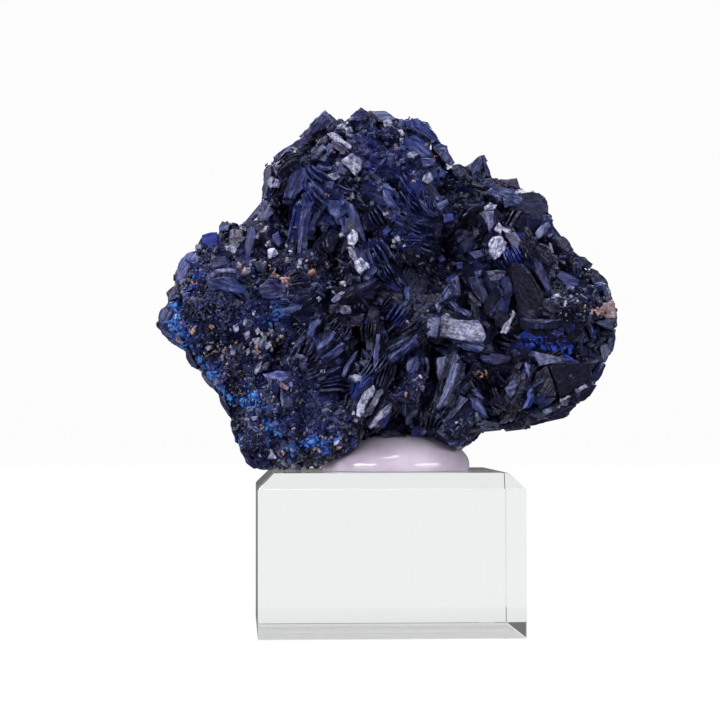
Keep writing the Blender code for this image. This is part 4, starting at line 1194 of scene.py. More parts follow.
class Lay:
    """Tells how crystals lie at a place: their heading, habit and finish."""

    def __init__(self, ground, hollows):
        self.hollows = hollows
        self.lies = self.seen(ground, LIES)
        self.cobalt = self.seen(ground, COBALT_AND_RIM_REFLECTION_PATCHES)
        self.glitter = self.seen(ground, GLITTER_PATCHES)
        self.tree = KDTree(len(self.lies))
        for index, (_, middle) in enumerate(self.lies):
            self.tree.insert(middle, index)
        self.tree.balance()
        self.face_depth = np.full((PICTURE_PIXELS, PICTURE_PIXELS), np.inf)

    @staticmethod
    def seen(ground, entries):
        """Entries whose pixel meets the mass, each with the place that it meets."""
        found = ((entry, seen_point(ground, entry.px, entry.py)) for entry in entries)
        return [(entry, point[0]) for entry, point in found if point]

    def cover(self, corners, depth):
        """Keeps the ground behind an outlined face free of other crystals."""
        spans = []
        for values in zip(*corners):
            spans.append(np.arange(min(values) - FACE_CLEAR_PIXELS, max(values) + FACE_CLEAR_PIXELS + 1))
        x, y = np.meshgrid(*spans)
        nearest, inside = polygon_field(x, y, corners)
        taken = inside | (nearest <= FACE_CLEAR_PIXELS)
        self.face_depth[y[taken], x[taken]] = np.minimum(self.face_depth[y[taken], x[taken]], depth)

    def free(self, place):
        """Whether a crystal may stand here: clear of glue, block and outlined faces."""
        x, y, z = place / MM
        from_glue = math.hypot(x - GLUE_MIDDLE[0], y - GLUE_MIDDLE[1])
        near_glue = from_glue < GLUE_CLEAR_RADIUS and z < GLUE_CLEAR_HEIGHT
        px, py, depth = pixels_of(np.array(place))
        behind = depth - self.face_depth[int(py), int(px)]
        covered = FACE_CLEAR_BEFORE * MM < behind < FACE_CLEAR_BEHIND * MM
        return z > LOWEST_GROWTH and not near_glue and not covered

    @staticmethod
    def strength(patches, place):
        """How strong the strongest of some patches is at a place."""
        most = 0.0
        for patch, middle in patches:
            gap = (place - middle) / MM
            if gap.length < PATCH_REACH:
                across = gap.dot(RIGHT) / patch.wide
                along = gap.dot(UP) / patch.high
                deep = gap.y / PATCH_DEPTH
                share = PATCH_PLATEAU - across**2 - along**2 - deep**2
                most = max(most, patch.strength * min(1.0, max(0.0, share)))
        return most

    def site(self, place, facet):
        """A place to grow: near a lie as the lie says, and elsewhere by the nearest part of the mass."""
        cobalt, glitter = self.strength(self.cobalt, place), self.strength(self.glitter, place)
        _, index, distance = self.tree.find(place)
        if distance < LIE_REACH * MM:
            lie = self.lies[index][0]
            heading = picture_heading(lie.heading)
            shade = max(hollow_share(place, hollow, middle) for hollow, middle in self.hollows)
            return Site(place, facet, heading, lie.lean, lie.habit, shade, cobalt, glitter)
        heading, lean = wandering(place)
        return Site(place, facet, heading, lean, nearest_centre(place).habit, 0.0, cobalt, glitter)

    def sites(self, mass, seed, tries, gap):
        """Evenly spaced places to grow on."""
        spots, normals = surface_points(mass.data, tries, np.random.default_rng(seed))
        for index in spaced(spots, gap):
            place = Vector(spots[index])
            if self.free(place):
                yield self.site(place, Vector(normals[index]))


def wandering(place):
    """A heading and a lean that change slowly over the sides that the picture doesn't show."""
    x, y, z = place / MM
    a = 0.31 * x + 0.17 * z + 2.0 * math.sin(0.19 * y + 0.11 * z)
    b = 0.23 * z - 0.27 * y + 1.4 * math.sin(0.13 * x)
    heading = Vector((math.cos(a), math.sin(a) * math.cos(b), math.sin(b))).normalized()
    return heading, 35.0 * math.sin(0.21 * x + 0.16 * y)


def turned(along, outward, place, scale):
    """A matrix that lays +Y along a direction and +Z outwards, as nearly as that direction allows."""
    up = outward.normalized()
    forward = (along - up * along.dot(up)).normalized()
    side = forward.cross(up)
    turn = Matrix((side * scale[0], forward * scale[1], up * scale[2])).transposed().to_4x4()
    turn.translation = place
    return turn


# The higher the power, the fewer crystals of a habit are light
TONE_POWERS = {"sheaf": 1.9, "slab": 2.6, "grain": 1.5, "block": 1.8}


def clump(place):
    """Neighbouring crystals are light or dark together, in patches a few millimetres wide."""
    return min(max(0.7 + 1.3 * noise_at(place / (2.2 * MM)), 0.1), 1.4)


def at_times(rng, chance, low, high):
    """A number between two, at some chance, and else nothing."""
    return rng.uniform(low, high) if rng.random() < chance else 0.0


def tint_of(rng, site, painted_glint=0.0):
    """The finish of one crystal: mostly dark, with painted shade in the hollows that also dims its painted
    glint.
    """
    tone_and_shade = rng.random() ** TONE_POWERS[site.habit] * (1.0 - 0.9 * site.shade) * clump(site.place)
    cobalt = max(site.cobalt, at_times(rng, 0.08, 0.08, 0.3))
    return tone_and_shade, painted_glint * (1.0 - site.shade), cobalt, 0.0


def any_way(rng, outward):
    """A direction along the ground, at random."""
    return tilted(outward.orthogonal().normalized(), outward, rng.uniform(0.0, 360.0))


def growing_sites(rock, rng, seed, tries, gap, shares, shading):
    """The sites where a habit takes hold: its share of them, fewer in hollows, on cobalt crust and under the
    painted rim reflection.
    """
    for site in rock.lay.sites(rock.mass, seed, tries, gap):
        if rng.random() <= shares[site.habit] * (1.0 - shading * site.shade) - site.cobalt:
            yield site


def grow_books(rock, name, seed, tries, gap, side):
    """Books of thin plates, lying the way that the picture shows, on one side of the middle."""
    rng = random.Random(seed)
    shares = {"sheaf": 1.0, "slab": 0.4, "grain": 0.22, "block": 0.16}
    names = {
        "sheaf": "book_tight book_open book_short book_fine book_bowed rosette single_blade".split(),
        "slab": "book_tight book_short book_open single_blade".split(),
        "block": "book_tight book_short single_blade".split(),
        "grain": "book_tight book_fine single_blade".split(),
    }
    copies = []
    for site in growing_sites(rock, rng, seed, tries, gap, shares, 0.6):
        if side * site.place.x < 0.0:
            continue
        outward = mixed(outward_at(site.place), site.facet, 0.35)
        outward = tilted(outward, site.heading, site.lean + rng.uniform(-28.0, 28.0))
        heading = tilted(site.heading, outward, rng.uniform(-12.0, 12.0))
        size = rng.uniform(0.5, 1.0) * (0.55 if site.habit == "grain" else 1.0)
        scale = (size * rng.uniform(0.8, 1.2), size * rng.uniform(0.8, 1.15), size)
        start = site.place - outward * 0.75 * MM - heading * rng.uniform(1.4, 2.4) * size * MM
        painted_glint = at_times(rng, 0.12, 0.1, 0.4)
        form = rng.choice(names[site.habit])
        copies.append(Copy(form, turned(heading, outward, start, scale), tint_of(rng, site, painted_glint)))
    return joined(rock, name, copies)


def grow_slabs(rock, name, seed, tries, gap):
    """Thicker plates in twos and threes, mostly on the right."""
    rng = random.Random(seed)
    shares = {"sheaf": 0.14, "slab": 0.9, "grain": 0.06, "block": 0.2}
    copies = []
    for site in growing_sites(rock, rng, seed, tries, gap, shares, 0.7):
        outward = mixed(outward_at(site.place), site.facet, 0.5)
        outward = tilted(outward, site.heading, site.lean * 1.2 + rng.uniform(-20.0, 20.0))
        heading = tilted(site.heading, outward, rng.uniform(-14.0, 14.0))
        size = rng.uniform(0.45, 0.95)
        start = site.place - outward * 1.2 * MM - heading * 2.2 * size * MM
        painted_glint = at_times(rng, 0.12, 0.1, 0.3)
        form = rng.choice(("slab_pair", "slab_triple"))
        turn = turned(heading, outward, start, (size, size, size))
        copies.append(Copy(form, turn, tint_of(rng, site, painted_glint)))
    return joined(rock, name, copies)


def grow_stubby(rock, name, seed, tries, gap):
    """Stubby crystals, thick on the crown and shoulder and sparse elsewhere."""
    rng = random.Random(seed)
    shares = {"block": 0.95, "grain": 0.35, "slab": 0.22, "sheaf": 0.12}
    names = ("stubby_flat", "stubby_tall", "stubby_wedge", "stubby_long")
    copies = []
    for site in growing_sites(rock, rng, seed, tries, gap, shares, 0.5):
        outward = mixed(outward_at(site.place), site.facet, 0.6)
        outward = tilted(outward, any_way(rng, outward), rng.uniform(0.0, 32.0))
        size = rng.uniform(0.35, 0.9) * (0.6 if site.habit == "grain" else 0.85)
        scale = (size * rng.uniform(0.7, 1.2), size * rng.uniform(0.8, 1.3), size)
        start = site.place - outward * 0.4 * MM
        painted_glint = at_times(rng, 0.14, 0.15, 0.6)
        turn = turned(any_way(rng, outward), outward, start, scale)
        copies.append(Copy(rng.choice(names), turn, tint_of(rng, site, painted_glint)))
    return joined(rock, name, copies)


def grow_druse(rock, name, seed, tries, gap, side, shares):
    """Fine druse, in front or behind: grains under a millimetre, a few of them with painted glints or stained
    with clay.
    """
    rng = random.Random(seed)
    copies = []
    for site in rock.lay.sites(rock.mass, seed, tries, gap):
        if rng.random() > max(shares[site.habit], site.cobalt, site.glitter) or side * site.place.y < 0.0:
            continue
        outward = tilted(site.facet, any_way(rng, site.facet), rng.uniform(0.0, 38.0))
        size = rng.uniform(0.2, 0.45) * (2.0 if rng.random() < 0.15 else 1.0) + 0.25 * site.glitter
        scale = (size, size * rng.uniform(0.8, 1.6), size)
        painted_glint = 0.0
        if rng.random() < 0.13 + 0.6 * site.glitter:
            painted_glint = min(1.0, rng.uniform(0.3, 1.0) + 0.4 * site.glitter)
        tone_and_shade, painted_glint, cobalt, _ = tint_of(rng, site, painted_glint)
        clay = rng.uniform(0.4, 0.9) if rng.random() < 0.022 and site.habit == "grain" else 0.0
        turn = turned(any_way(rng, outward), outward, site.place, scale)
        copies.append(Copy(rng.choice(("grain_low", "grain_tall")), turn, (tone_and_shade, painted_glint, cobalt, clay)))
    return joined(rock, name, copies)


def place_flecks(rock):
    """Clay flecks caught between the crystals, each a few ragged crumbs."""
    rng = random.Random(SEED + 5)
    copies = []
    for fleck in FLECKS:
        place, facet = seen_point(rock.ground, fleck.px, fleck.py)
        along, outward = picture_heading(fleck.heading), mixed(facet, -FORWARD, 0.7)
        across = along.cross(outward)
        for _ in range(3 + int(fleck.length * 7)):
            size = rng.uniform(0.25, 0.6) * fleck.width
            aside = along * rng.uniform(-0.5, 0.5) * fleck.length + across * rng.gauss(0.0, 0.3) * fleck.width
            lifted = place + (aside + outward * rng.uniform(0.8, 1.2)) * MM
            turn = turned(any_way(rng, outward), outward, lifted, (size, size * rng.uniform(0.9, 2.0), 0.4))
            # Some crumbs get a painted glint
            painted_glint = at_times(rng, 0.3, 0.0, 0.6)
            copies.append(Copy("flake", turn, (rng.random(), painted_glint, 0.0, rng.uniform(0.6, 1.0))))
    return joined(rock, "clay_flecks", copies)


# Crystals with an outlined face

# Where sight lines that miss the mass turn to, in pixels, and how far they move at a time
SPECIMEN_MIDDLE = Vector((385.0, 300.0))
AIM_STEP = 2.0

# How far a face stands clear of the mass, and the least and the most that it moves towards the camera
FACE_LIFT = 0.6
FACE_LEAST_MOVE = 0.5
FACE_MOST_MOVE = 2.6

# How often the sides of a face are chipped, and how far aside and outwards
CHIP_LENGTH = 0.7
CHIP_ASIDE = 0.13
CHIP_OUTWARD = 0.07

# How wide and deep the eased rim of a face is, and how thick its crystal
FACE_EASE = 0.15
FACE_EASE_DEPTH = 0.1
FACE_THICKNESS = 1.5


def middle_pixel(corners):
    return Vector((sum(x for x, _ in corners), sum(y for _, y in corners))) / len(corners)


def aim_at(ground, corners):
    """The mass behind the middle of some pixels, or behind the nearest pixel on the way to its own middle."""
    aim = middle_pixel(corners)
    while True:
        seen = seen_point(ground, *aim)
        if seen:
            return seen[0]
        aim += (SPECIMEN_MIDDLE - aim).normalized() * AIM_STEP


def face_corners(ground, face):
    """The corners of an outlined face in space, on a plane just clear of the mass."""
    anchor = aim_at(ground, face.points)
    normal = facing(face.yaw, face.pitch)

    def on_plane(px, py):
        """Where a sight line meets the plane through the anchor."""
        ray = sight(px, py)
        return CAMERA_PLACE + ray * ((anchor - CAMERA_PLACE).dot(normal) / ray.dot(normal))

    buried = []
    middle = middle_pixel(face.points)
    for corner in face.points:
        px, py = middle.lerp(Vector(corner), 0.7)
        seen = seen_point(ground, px, py)
        if seen:
            buried.append((on_plane(px, py) - seen[0]).dot(FORWARD))
    buried.sort()
    rise = buried[int(0.75 * len(buried))] if buried else 0.0
    move = min(max(rise + FACE_LIFT * MM, FACE_LEAST_MOVE * MM), FACE_MOST_MOVE * MM)
    anchor = anchor - FORWARD * move
    return [on_plane(px, py) for px, py in face.points], normal, (anchor - CAMERA_PLACE).dot(FORWARD)


def ragged(corners, normal, rng):
    """A face's corners, with its sides broken into short lengths that are a little out of line."""
    broken = []
    for start, end in sides_of(corners):
        side = end - start
        inward = normal.cross(side).normalized()
        parts = max(1, round(side.length / (CHIP_LENGTH * MM)))
        broken.append(start)
        for part in range(1, parts):
            chip = inward * rng.uniform(-CHIP_ASIDE, CHIP_ASIDE)
            chip += normal * rng.uniform(-CHIP_OUTWARD, CHIP_OUTWARD)
            share = (part + rng.uniform(-0.25, 0.25)) / parts
            broken.append(start + side * share + chip * MM)
    return broken


def outlined_crystals(rock):
    """The crystals with an outlined face: flat faces first, then given their thickness."""
    rng = random.Random(SEED + 9)
    points, faces, tints, streaks = [], [], [], []
    for face in FACES:
        corners, normal, depth = face_corners(rock.ground, face)
        rock.lay.cover(face.points, depth)
        around = sum((a.cross(b) for a, b in sides_of(corners)), Vector())
        if around.dot(normal) < 0.0:
            corners.reverse()
        corners = ragged(corners, normal, rng)
        along = picture_heading(face.heading)
        across = along.cross(FORWARD)
        faces.append(list(range(len(points), len(points) + len(corners))))
        points.extend(corners)
        tints.extend([FINISHES[face.finish]] * len(corners))
        streaks.extend((corner.dot(across) / MM, corner.dot(along) / MM) for corner in corners)
    mesh = bpy.data.meshes.new("outlined_crystals")
    mesh.from_pydata(points, [], faces)
    add_tints(mesh, np.array(tints))
    add_streaks(mesh, np.array(streaks))
    crystals = new_object("outlined_crystals", mesh)
    select_only(crystals)
    bpy.ops.object.mode_set(mode="EDIT")
    bpy.ops.mesh.select_mode(type="FACE")
    bpy.ops.mesh.select_all(action="SELECT")
    bpy.ops.mesh.inset(thickness=FACE_EASE * MM, depth=FACE_EASE_DEPTH * MM, use_individual=True)
    end_editing()
    body = crystals.modifiers.new("thickness", "SOLIDIFY")
    body.thickness = FACE_THICKNESS * MM
    body.offset = -1.0
    apply_modifiers(crystals)
    crystals.data.shade_flat()
    return crystals


def dress_mass(rock):
    """The larger crystals: edges eased, each facet with its own tone and streaks, painted shade in the
    hollows and a rare painted glint.
    """
    rng = random.Random(SEED + 6)
    ease_edges(rock.mass, 0.14, 24)
    mesh = rock.mass.data
    mesh.shade_flat()
    tints = np.zeros((len(mesh.vertices), 4))
    streaks = np.zeros((len(mesh.loops), 2))
    for face in mesh.polygons:
        corners = [mesh.vertices[index].co for index in face.vertices]
        along = max((b - a for a, b in sides_of(corners)), key=lambda side: side.length).normalized()
        across = face.normal.cross(along)
        site = rock.lay.site(corners[0].copy(), face.normal)
        tint = tint_of(rng, site, at_times(rng, 0.05, 0.1, 0.4))
        for index, loop, place in zip(face.vertices, face.loop_indices, corners):
            tints[index] = tint
            streaks[loop] = (across.dot(place) / MM, along.dot(place) / MM)
    add_tints(mesh, tints)
    add_streaks(mesh, streaks)


# Glue and block

# The glue's foot almost rests on the block and its top reaches into the rock: how far it drops and grows
GLUE_DROP = 0.3
GLUE_GROWTH = 0.9

# How far up the glue is widest, as a share of its height
GLUE_WAIST = 0.14

# How much is cut off the block's top edges, and how far polishing eases every edge
BLOCK_CHAMFER = 2.3
BLOCK_POLISH = 0.16


def glue_dome():
    """The glue: a dome whose foot curls in, a little uneven, reaching up to the rock."""
    low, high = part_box("mounting_glue")
    middle = (Vector(low) + Vector(high)) / 2
    radius = (high[0] - low[0]) / 2
    foot = low[2] - GLUE_DROP * MM
    rise = high[2] - low[2] + GLUE_GROWTH * MM
    deselect_all()
    bpy.ops.mesh.primitive_uv_sphere_add(
        segments=96, ring_count=48, radius=1.0, location=(middle.x, middle.y, foot + GLUE_WAIST * rise)
    )
    dome = bpy.context.object
    dome.name = "glue_dome"
    dome.scale = (radius, radius, rise * (1.0 - GLUE_WAIST))
    bpy.ops.object.transform_apply(location=True, rotation=True, scale=True)
    bpy.ops.object.mode_set(mode="EDIT")
    bpy.ops.mesh.select_all(action="SELECT")
    bpy.ops.mesh.bisect(plane_co=(0.0, 0.0, foot), plane_no=(0.0, 0.0, 1.0), use_fill=True, clear_inner=True)
    end_editing()
    for vert in dome.data.vertices:
        turn = math.atan2(vert.co.y - middle.y, vert.co.x - middle.x)
        wave = 1.0 + 0.016 * math.sin(2.0 * turn + 0.6) + 0.01 * math.sin(5.0 * turn)
        vert.co.x = middle.x + (vert.co.x - middle.x) * wave
        vert.co.y = middle.y + (vert.co.y - middle.y) * wave
    select_only(dome)
    bpy.ops.object.shade_smooth_by_angle(angle=math.radians(50))
    return dome


def display_block():
    """The clear block: a box with its top edges cut at 45 degrees, every edge eased by polishing."""
    low, high = (Vector(corner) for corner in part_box("clear_block"))
    block = box("display_block", high - low, (low + high) / 2)
    cut_edges(block, lambda edge: min(vert.co.z for vert in edge.verts) > 0.9 * high.z, BLOCK_CHAMFER)
    end_editing()
    block.data.shade_smooth()
    ease_edges(block, BLOCK_POLISH, 30, segments=3, flat_faces=True)
    return block


# Materials

# Colours, most of them pairs from dark to light, as linear red, green and blue
NAVY = ((0.0045, 0.0043, 0.0080), (0.019, 0.019, 0.118))
TEAL = (0.011, 0.036, 0.155)
# Painted gleam, laid along the streaks
GLEAM = (0.125, 0.14, 0.27)
COBALT = ((0.006, 0.008, 0.20), (0.045, 0.120, 0.74))
# Azure: strong crust towards the left, and the painted rim reflection
AZURE_AND_RIM_REFLECTION = ((0.006, 0.035, 0.28), (0.090, 0.42, 0.86))
# Painted highlights: silver glints, and a steel sheen along streaks
SILVER_GLINT = ((0.06, 0.065, 0.14), (0.62, 0.61, 0.74))
STEEL_SHEEN = ((0.015, 0.026, 0.085), (0.20, 0.25, 0.46))
EARTH = ((0.10, 0.035, 0.03), (0.72, 0.43, 0.36))
MILKY = ((0.49, 0.41, 0.50), (0.61, 0.53, 0.61))
CLEAR = ((0.985, 0.99, 0.99), (1.0, 1.0, 1.0))


class Wiring:
    """Adds nodes to a material, a group or a world, each wired to what it works on."""

    def __init__(self, tree):
        self.nodes = tree.nodes
        self.links = tree.links

    def object_place(self):
        """Coordinates in metres that stay with the object."""
        return self.nodes.new("ShaderNodeTexCoord").outputs["Object"]

    def noise(self, coordinates, scale, detail=3.0, gritty=0.5, stretch=None):
        """A noise texture on some coordinates, stretched first if asked."""
        if stretch:
            mapping = self.nodes.new("ShaderNodeMapping")
            mapping.inputs["Scale"].default_value = stretch
            self.links.new(coordinates, mapping.inputs["Vector"])
            coordinates = mapping.outputs["Vector"]
        texture = self.nodes.new("ShaderNodeTexNoise")
        texture.inputs["Scale"].default_value = scale
        texture.inputs["Detail"].default_value = detail
        texture.inputs["Roughness"].default_value = gritty
        self.links.new(coordinates, texture.inputs["Vector"])
        return texture.outputs["Fac"]

    def maths(self, operation, a, b, clamp=False):
        """Works on two values or numbers. The result is kept between 0 and 1 if asked."""
        node = self.nodes.new("ShaderNodeMath")
        node.operation = operation
        node.use_clamp = clamp
        for index, value in enumerate((a, b)):
            if isinstance(value, float):
                node.inputs[index].default_value = value
            else:
                self.links.new(value, node.inputs[index])
        return node.outputs[0]

    def times(self, a, b, clamp=False):
        return self.maths("MULTIPLY", a, b, clamp)

    def plus(self, a, b, clamp=False):
        return self.maths("ADD", a, b, clamp)

    def remap(self, value, low, high, to_low=0.0, to_high=1.0):
        """Stretches the values from low to high over another range."""
        node = self.nodes.new("ShaderNodeMapRange")
        self.links.new(value, node.inputs["Value"])
        node.inputs["From Min"].default_value = low
        node.inputs["From Max"].default_value = high
        node.inputs["To Min"].default_value = to_low
        node.inputs["To Max"].default_value = to_high
        return node.outputs["Result"]

    def mix(self, share, a, b):
        """A colour between two, each a set colour or another node's."""
        node = self.nodes.new("ShaderNodeMix")
        node.data_type = "RGBA"
        self.links.new(share, node.inputs["Factor"])
        for name, value in (("A", a), ("B", b)):
            socket = next(s for s in node.inputs if s.name == name and s.type == "RGBA")
            if isinstance(value, tuple):
                socket.default_value = (*value, 1.0)
            else:
                self.links.new(value, socket)
        return next(s for s in node.outputs if s.type == "RGBA")


def new_material(name):
    material = bpy.data.materials.new(name)
    material.use_nodes = True
    wire = Wiring(material.node_tree)
    return material, wire, wire.nodes["Principled BSDF"]


def set_values(shader, **values):
    for name, value in values.items():
        shader.inputs[name.replace("_", " ")].default_value = value


def finish_group():
    """An empty node group with the sockets of the azurite's finish."""
    group = bpy.data.node_groups.new("azurite finish", "ShaderNodeTree")
    sockets = (
        ("INPUT", "NodeSocketVector", ("Place", "Streaks")),
        ("INPUT", "NodeSocketFloat", ("Tone_and_shade", "Painted_glint", "Cobalt", "Clay")),
        ("OUTPUT", "NodeSocketColor", ("Colour",)),
        ("OUTPUT", "NodeSocketFloat", ("Roughness", "Relief")),
    )
    for side, kind, names in sockets:
        for name in names:
            group.interface.new_socket(name, in_out=side, socket_type=kind)
    return group


def crystal_finish():
    """The shared finish of azurite: colour with its painted shade, sheen and glints, roughness and relief
    from each crystal's tint.
    """
    group = finish_group()
    wire = Wiring(group)
    given = wire.nodes.new("NodeGroupInput").outputs
    out = wire.nodes.new("NodeGroupOutput").inputs
    place = given["Place"]

    streak = wire.noise(given["Streaks"], 1.0, 3.0, 0.65, (2.6, 0.3, 1.0))
    grit = wire.noise(place, 1500.0, 4.0, 0.7)
    mottle = wire.noise(place, 900.0, 5.0, 0.75)
    cloud = wire.noise(place, 170.0, 2.0)
    spark = wire.noise(place, 2600.0, 1.0)

    # Navy, with painted sheen along the streaks, teal clouds and a painted gleam
    off_middle = wire.maths("ABSOLUTE", wire.maths("SUBTRACT", mottle, 0.47), 0.0)
    unbroken = wire.remap(off_middle, 0.002, 0.02)
    streak_sheen = wire.times(wire.remap(streak, 0.46, 0.58), unbroken)
    depth = wire.plus(wire.times(streak_sheen, 0.75), 0.2)
    depth = wire.times(depth, wire.plus(given["Tone_and_shade"], 0.12), True)
    navy = wire.mix(depth, *NAVY)
    teal_share = wire.times(wire.remap(cloud, 0.48, 0.62, 0.0, 0.8), depth)
    navy = wire.mix(teal_share, navy, TEAL)
    sheen = wire.noise(place, 520.0, 2.0)
    gleam = wire.times(streak_sheen, wire.remap(sheen, 0.46, 0.60))
    gleam = wire.times(gleam, wire.plus(given["Tone_and_shade"], 0.05))
    navy = wire.mix(gleam, navy, GLEAM)

    # Cobalt crust, which turns azure towards the left where it is strong; along the left lobe's rim it is a
    # painted reflection
    crust_and_rim_mask = wire.remap(mottle, 0.40, 0.52, 0.25, 1.15)
    crust_and_rim_mask = wire.times(crust_and_rim_mask, given["Cobalt"], True)
    cobalt = wire.mix(grit, *COBALT)
    azure_and_rim_reflection = wire.mix(grit, *AZURE_AND_RIM_REFLECTION)
    split = wire.nodes.new("ShaderNodeSeparateXYZ")
    wire.links.new(place, split.inputs[0])
    westward = wire.remap(split.outputs["X"], 0.0, -16.0 * MM)
    westward = wire.times(westward, wire.remap(given["Cobalt"], 0.5, 0.9))
    cobalt = wire.mix(westward, cobalt, azure_and_rim_reflection)
    colour = wire.mix(crust_and_rim_mask, navy, cobalt)

    # Painted glints: a steel sheen along the streaks of faintly glinting faces, patchy silver highlights on
    # strongly glinting ones, and painted sparks on all
    bright_grit = wire.remap(grit, 0.38, 0.62)
    silver_glint = wire.mix(bright_grit, *SILVER_GLINT)
    steel_sheen = wire.mix(bright_grit, *STEEL_SHEEN)
    silvery = wire.remap(given["Painted_glint"], 0.2, 0.55)
    silver_glint = wire.mix(silvery, steel_sheen, silver_glint)
    blend = wire.times(wire.plus(mottle, streak), 0.5)
    patchy = wire.remap(blend, 0.42, 0.52, 0.03, 1.0)
    lined = wire.remap(streak_sheen, 0.2, 0.8, 0.15, 1.6)
    lined = wire.times(lined, wire.maths("SUBTRACT", 1.0, silvery))
    patchy = wire.times(patchy, silvery)
    glint_mask = wire.times(wire.plus(lined, patchy), given["Painted_glint"], True)
    # Painted sparks: tiny white glints in patches, brighter where the painted gleam is
    sparkle = wire.remap(spark, 0.64, 0.69)
    sparkle = wire.times(sparkle, wire.remap(sheen, 0.44, 0.56))
    sparkle = wire.times(sparkle, wire.plus(gleam, 0.35))
    glint_mask = wire.maths("MAXIMUM", glint_mask, sparkle)
    colour = wire.mix(glint_mask, colour, silver_glint)

    earth = wire.mix(wire.remap(grit, 0.35, 0.6), *EARTH)
    colour = wire.mix(given["Clay"], colour, earth)
    wire.links.new(colour, out["Colour"])

    rough = wire.remap(grit, 0.3, 0.7, 0.14, 0.42)
    rough = wire.plus(rough, wire.times(crust_and_rim_mask, 0.3))
    rough = wire.plus(rough, wire.times(given["Clay"], 0.4), True)
    wire.links.new(rough, out["Roughness"])
    wire.links.new(wire.plus(streak, wire.times(mottle, 0.35)), out["Relief"])
    return group


def azurite_material():
    """Azurite: glassy, deep blue, its finish, painted shade and painted glints read from each crystal's own
    tint.
    """
    material, wire, shader = new_material("azurite")
    set_values(shader, IOR=1.73, Specular_IOR_Level=0.2, Metallic=0.0)
    shader.inputs["Specular Tint"].default_value = (0.78, 0.80, 1.0, 1.0)
    group = wire.nodes.new("ShaderNodeGroup")
    group.node_tree = crystal_finish()
    wire.links.new(wire.object_place(), group.inputs["Place"])
    streaks = wire.nodes.new("ShaderNodeUVMap")
    streaks.uv_map = "streaks"
    wire.links.new(streaks.outputs["UV"], group.inputs["Streaks"])
    for socket in ("Tone_and_shade", "Painted_glint", "Cobalt", "Clay"):
        attribute = wire.nodes.new("ShaderNodeAttribute")
        attribute.attribute_name = socket.lower()
        wire.links.new(attribute.outputs["Fac"], group.inputs[socket])
    bump = wire.nodes.new("ShaderNodeBump")
    bump.inputs["Strength"].default_value = 0.9
    bump.inputs["Distance"].default_value = 0.2 * MM
    wire.links.new(group.outputs["Relief"], bump.inputs["Height"])
    wire.links.new(group.outputs["Colour"], shader.inputs["Base Color"])
    wire.links.new(group.outputs["Roughness"], shader.inputs["Roughness"])
    wire.links.new(bump.outputs["Normal"], shader.inputs["Normal"])
    return material


def glue_material():
    """Set glue: milky, lilac white and glossy, with faint clouds."""
    material, wire, shader = new_material("milky glue")
    set_values(shader, IOR=1.48, Subsurface_Weight=0.35, Subsurface_Scale=2.0 * MM)
    shader.inputs["Subsurface Radius"].default_value = (1.0, 0.8, 1.1)
    cloud = wire.noise(wire.object_place(), 240.0)
    wire.links.new(wire.mix(wire.remap(cloud, 0.35, 0.7), *MILKY), shader.inputs["Base Color"])
    wire.links.new(wire.remap(cloud, 0.3, 0.7, 0.03, 0.07), shader.inputs["Roughness"])
    return material


def block_material():
    """Clear acrylic, with the faintest haze of handling on its faces."""
    material, wire, shader = new_material("clear acrylic")
    set_values(shader, IOR=1.49, Transmission_Weight=1.0, Metallic=0.0)
    depth = wire.nodes.new("ShaderNodeVolumeAbsorption")
    depth.inputs["Color"].default_value = (0.92, 0.97, 0.94, 1.0)
    depth.inputs["Density"].default_value = 12.0
    wire.links.new(depth.outputs["Volume"], wire.nodes["Material Output"].inputs["Volume"])
    smear = wire.noise(wire.object_place(), 60.0, 4.0)
    wire.links.new(wire.remap(smear, 0.5, 0.8, 0.0, 0.03), shader.inputs["Roughness"])
    wire.links.new(wire.mix(wire.remap(smear, 0.3, 0.7), *CLEAR), shader.inputs["Base Color"])
    return material


# Stage and light

# How bright the paper and the room are: to the eye, through the acrylic from behind the eye and from far
# ahead, and in reflections
PAPER_GLOW = (0.97, 0.4, 0.84, 0.14)
ROOM_GLOW = (0.995, 0.25, 0.84, 0.15)

# The paper: its size, how high its backdrop stands, and the radius of the curve between, in metres
SWEEP_SIZE = 6.0
SWEEP_HEIGHT = 3.0
SWEEP_CURVE = 1.2

# Softboxes: place, width and height in metres, and power in watts
Softbox = namedtuple("Softbox", "name place width height power")
SOFTBOXES = (
    Softbox("left softbox", (-0.52, -0.50, 0.14), 0.55, 0.16, 4.5),
    Softbox("right softbox", (0.52, -0.50, 0.14), 0.55, 0.16, 3.1),
    Softbox("overhead softbox", (-0.15, -0.25, 0.75), 0.5, 0.4, 5.5),
    Softbox("left back softbox", (-0.40, 0.60, 0.60), 0.4, 0.3, 2.4),
    Softbox("right back softbox", (0.40, 0.60, 0.60), 0.4, 0.3, 1.6),
    Softbox("middle back softbox", (0.0, 0.80, 0.45), 0.9, 0.3, 5.5),
)
LIGHT_TARGET = Vector((0.0, 0.0, 0.045))
LIGHT_COLOUR = (0.93, 0.94, 1.0)


def brightness(wire, coordinates, start, end, glow):
    """The strength of a glow, whose look through the acrylic changes along Y from start to end."""
    seen, behind, ahead, reflected = glow
    split = wire.nodes.new("ShaderNodeSeparateXYZ")
    wire.links.new(wire.nodes.new("ShaderNodeTexCoord").outputs[coordinates], split.inputs[0])
    through = wire.remap(split.outputs["Y"], start, end, behind, ahead)
    rays = wire.nodes.new("ShaderNodeLightPath").outputs
    seen = wire.times(rays["Is Camera Ray"], seen)
    through = wire.times(rays["Is Transmission Ray"], through)
    return wire.maths("MAXIMUM", wire.maths("MAXIMUM", seen, through), reflected)


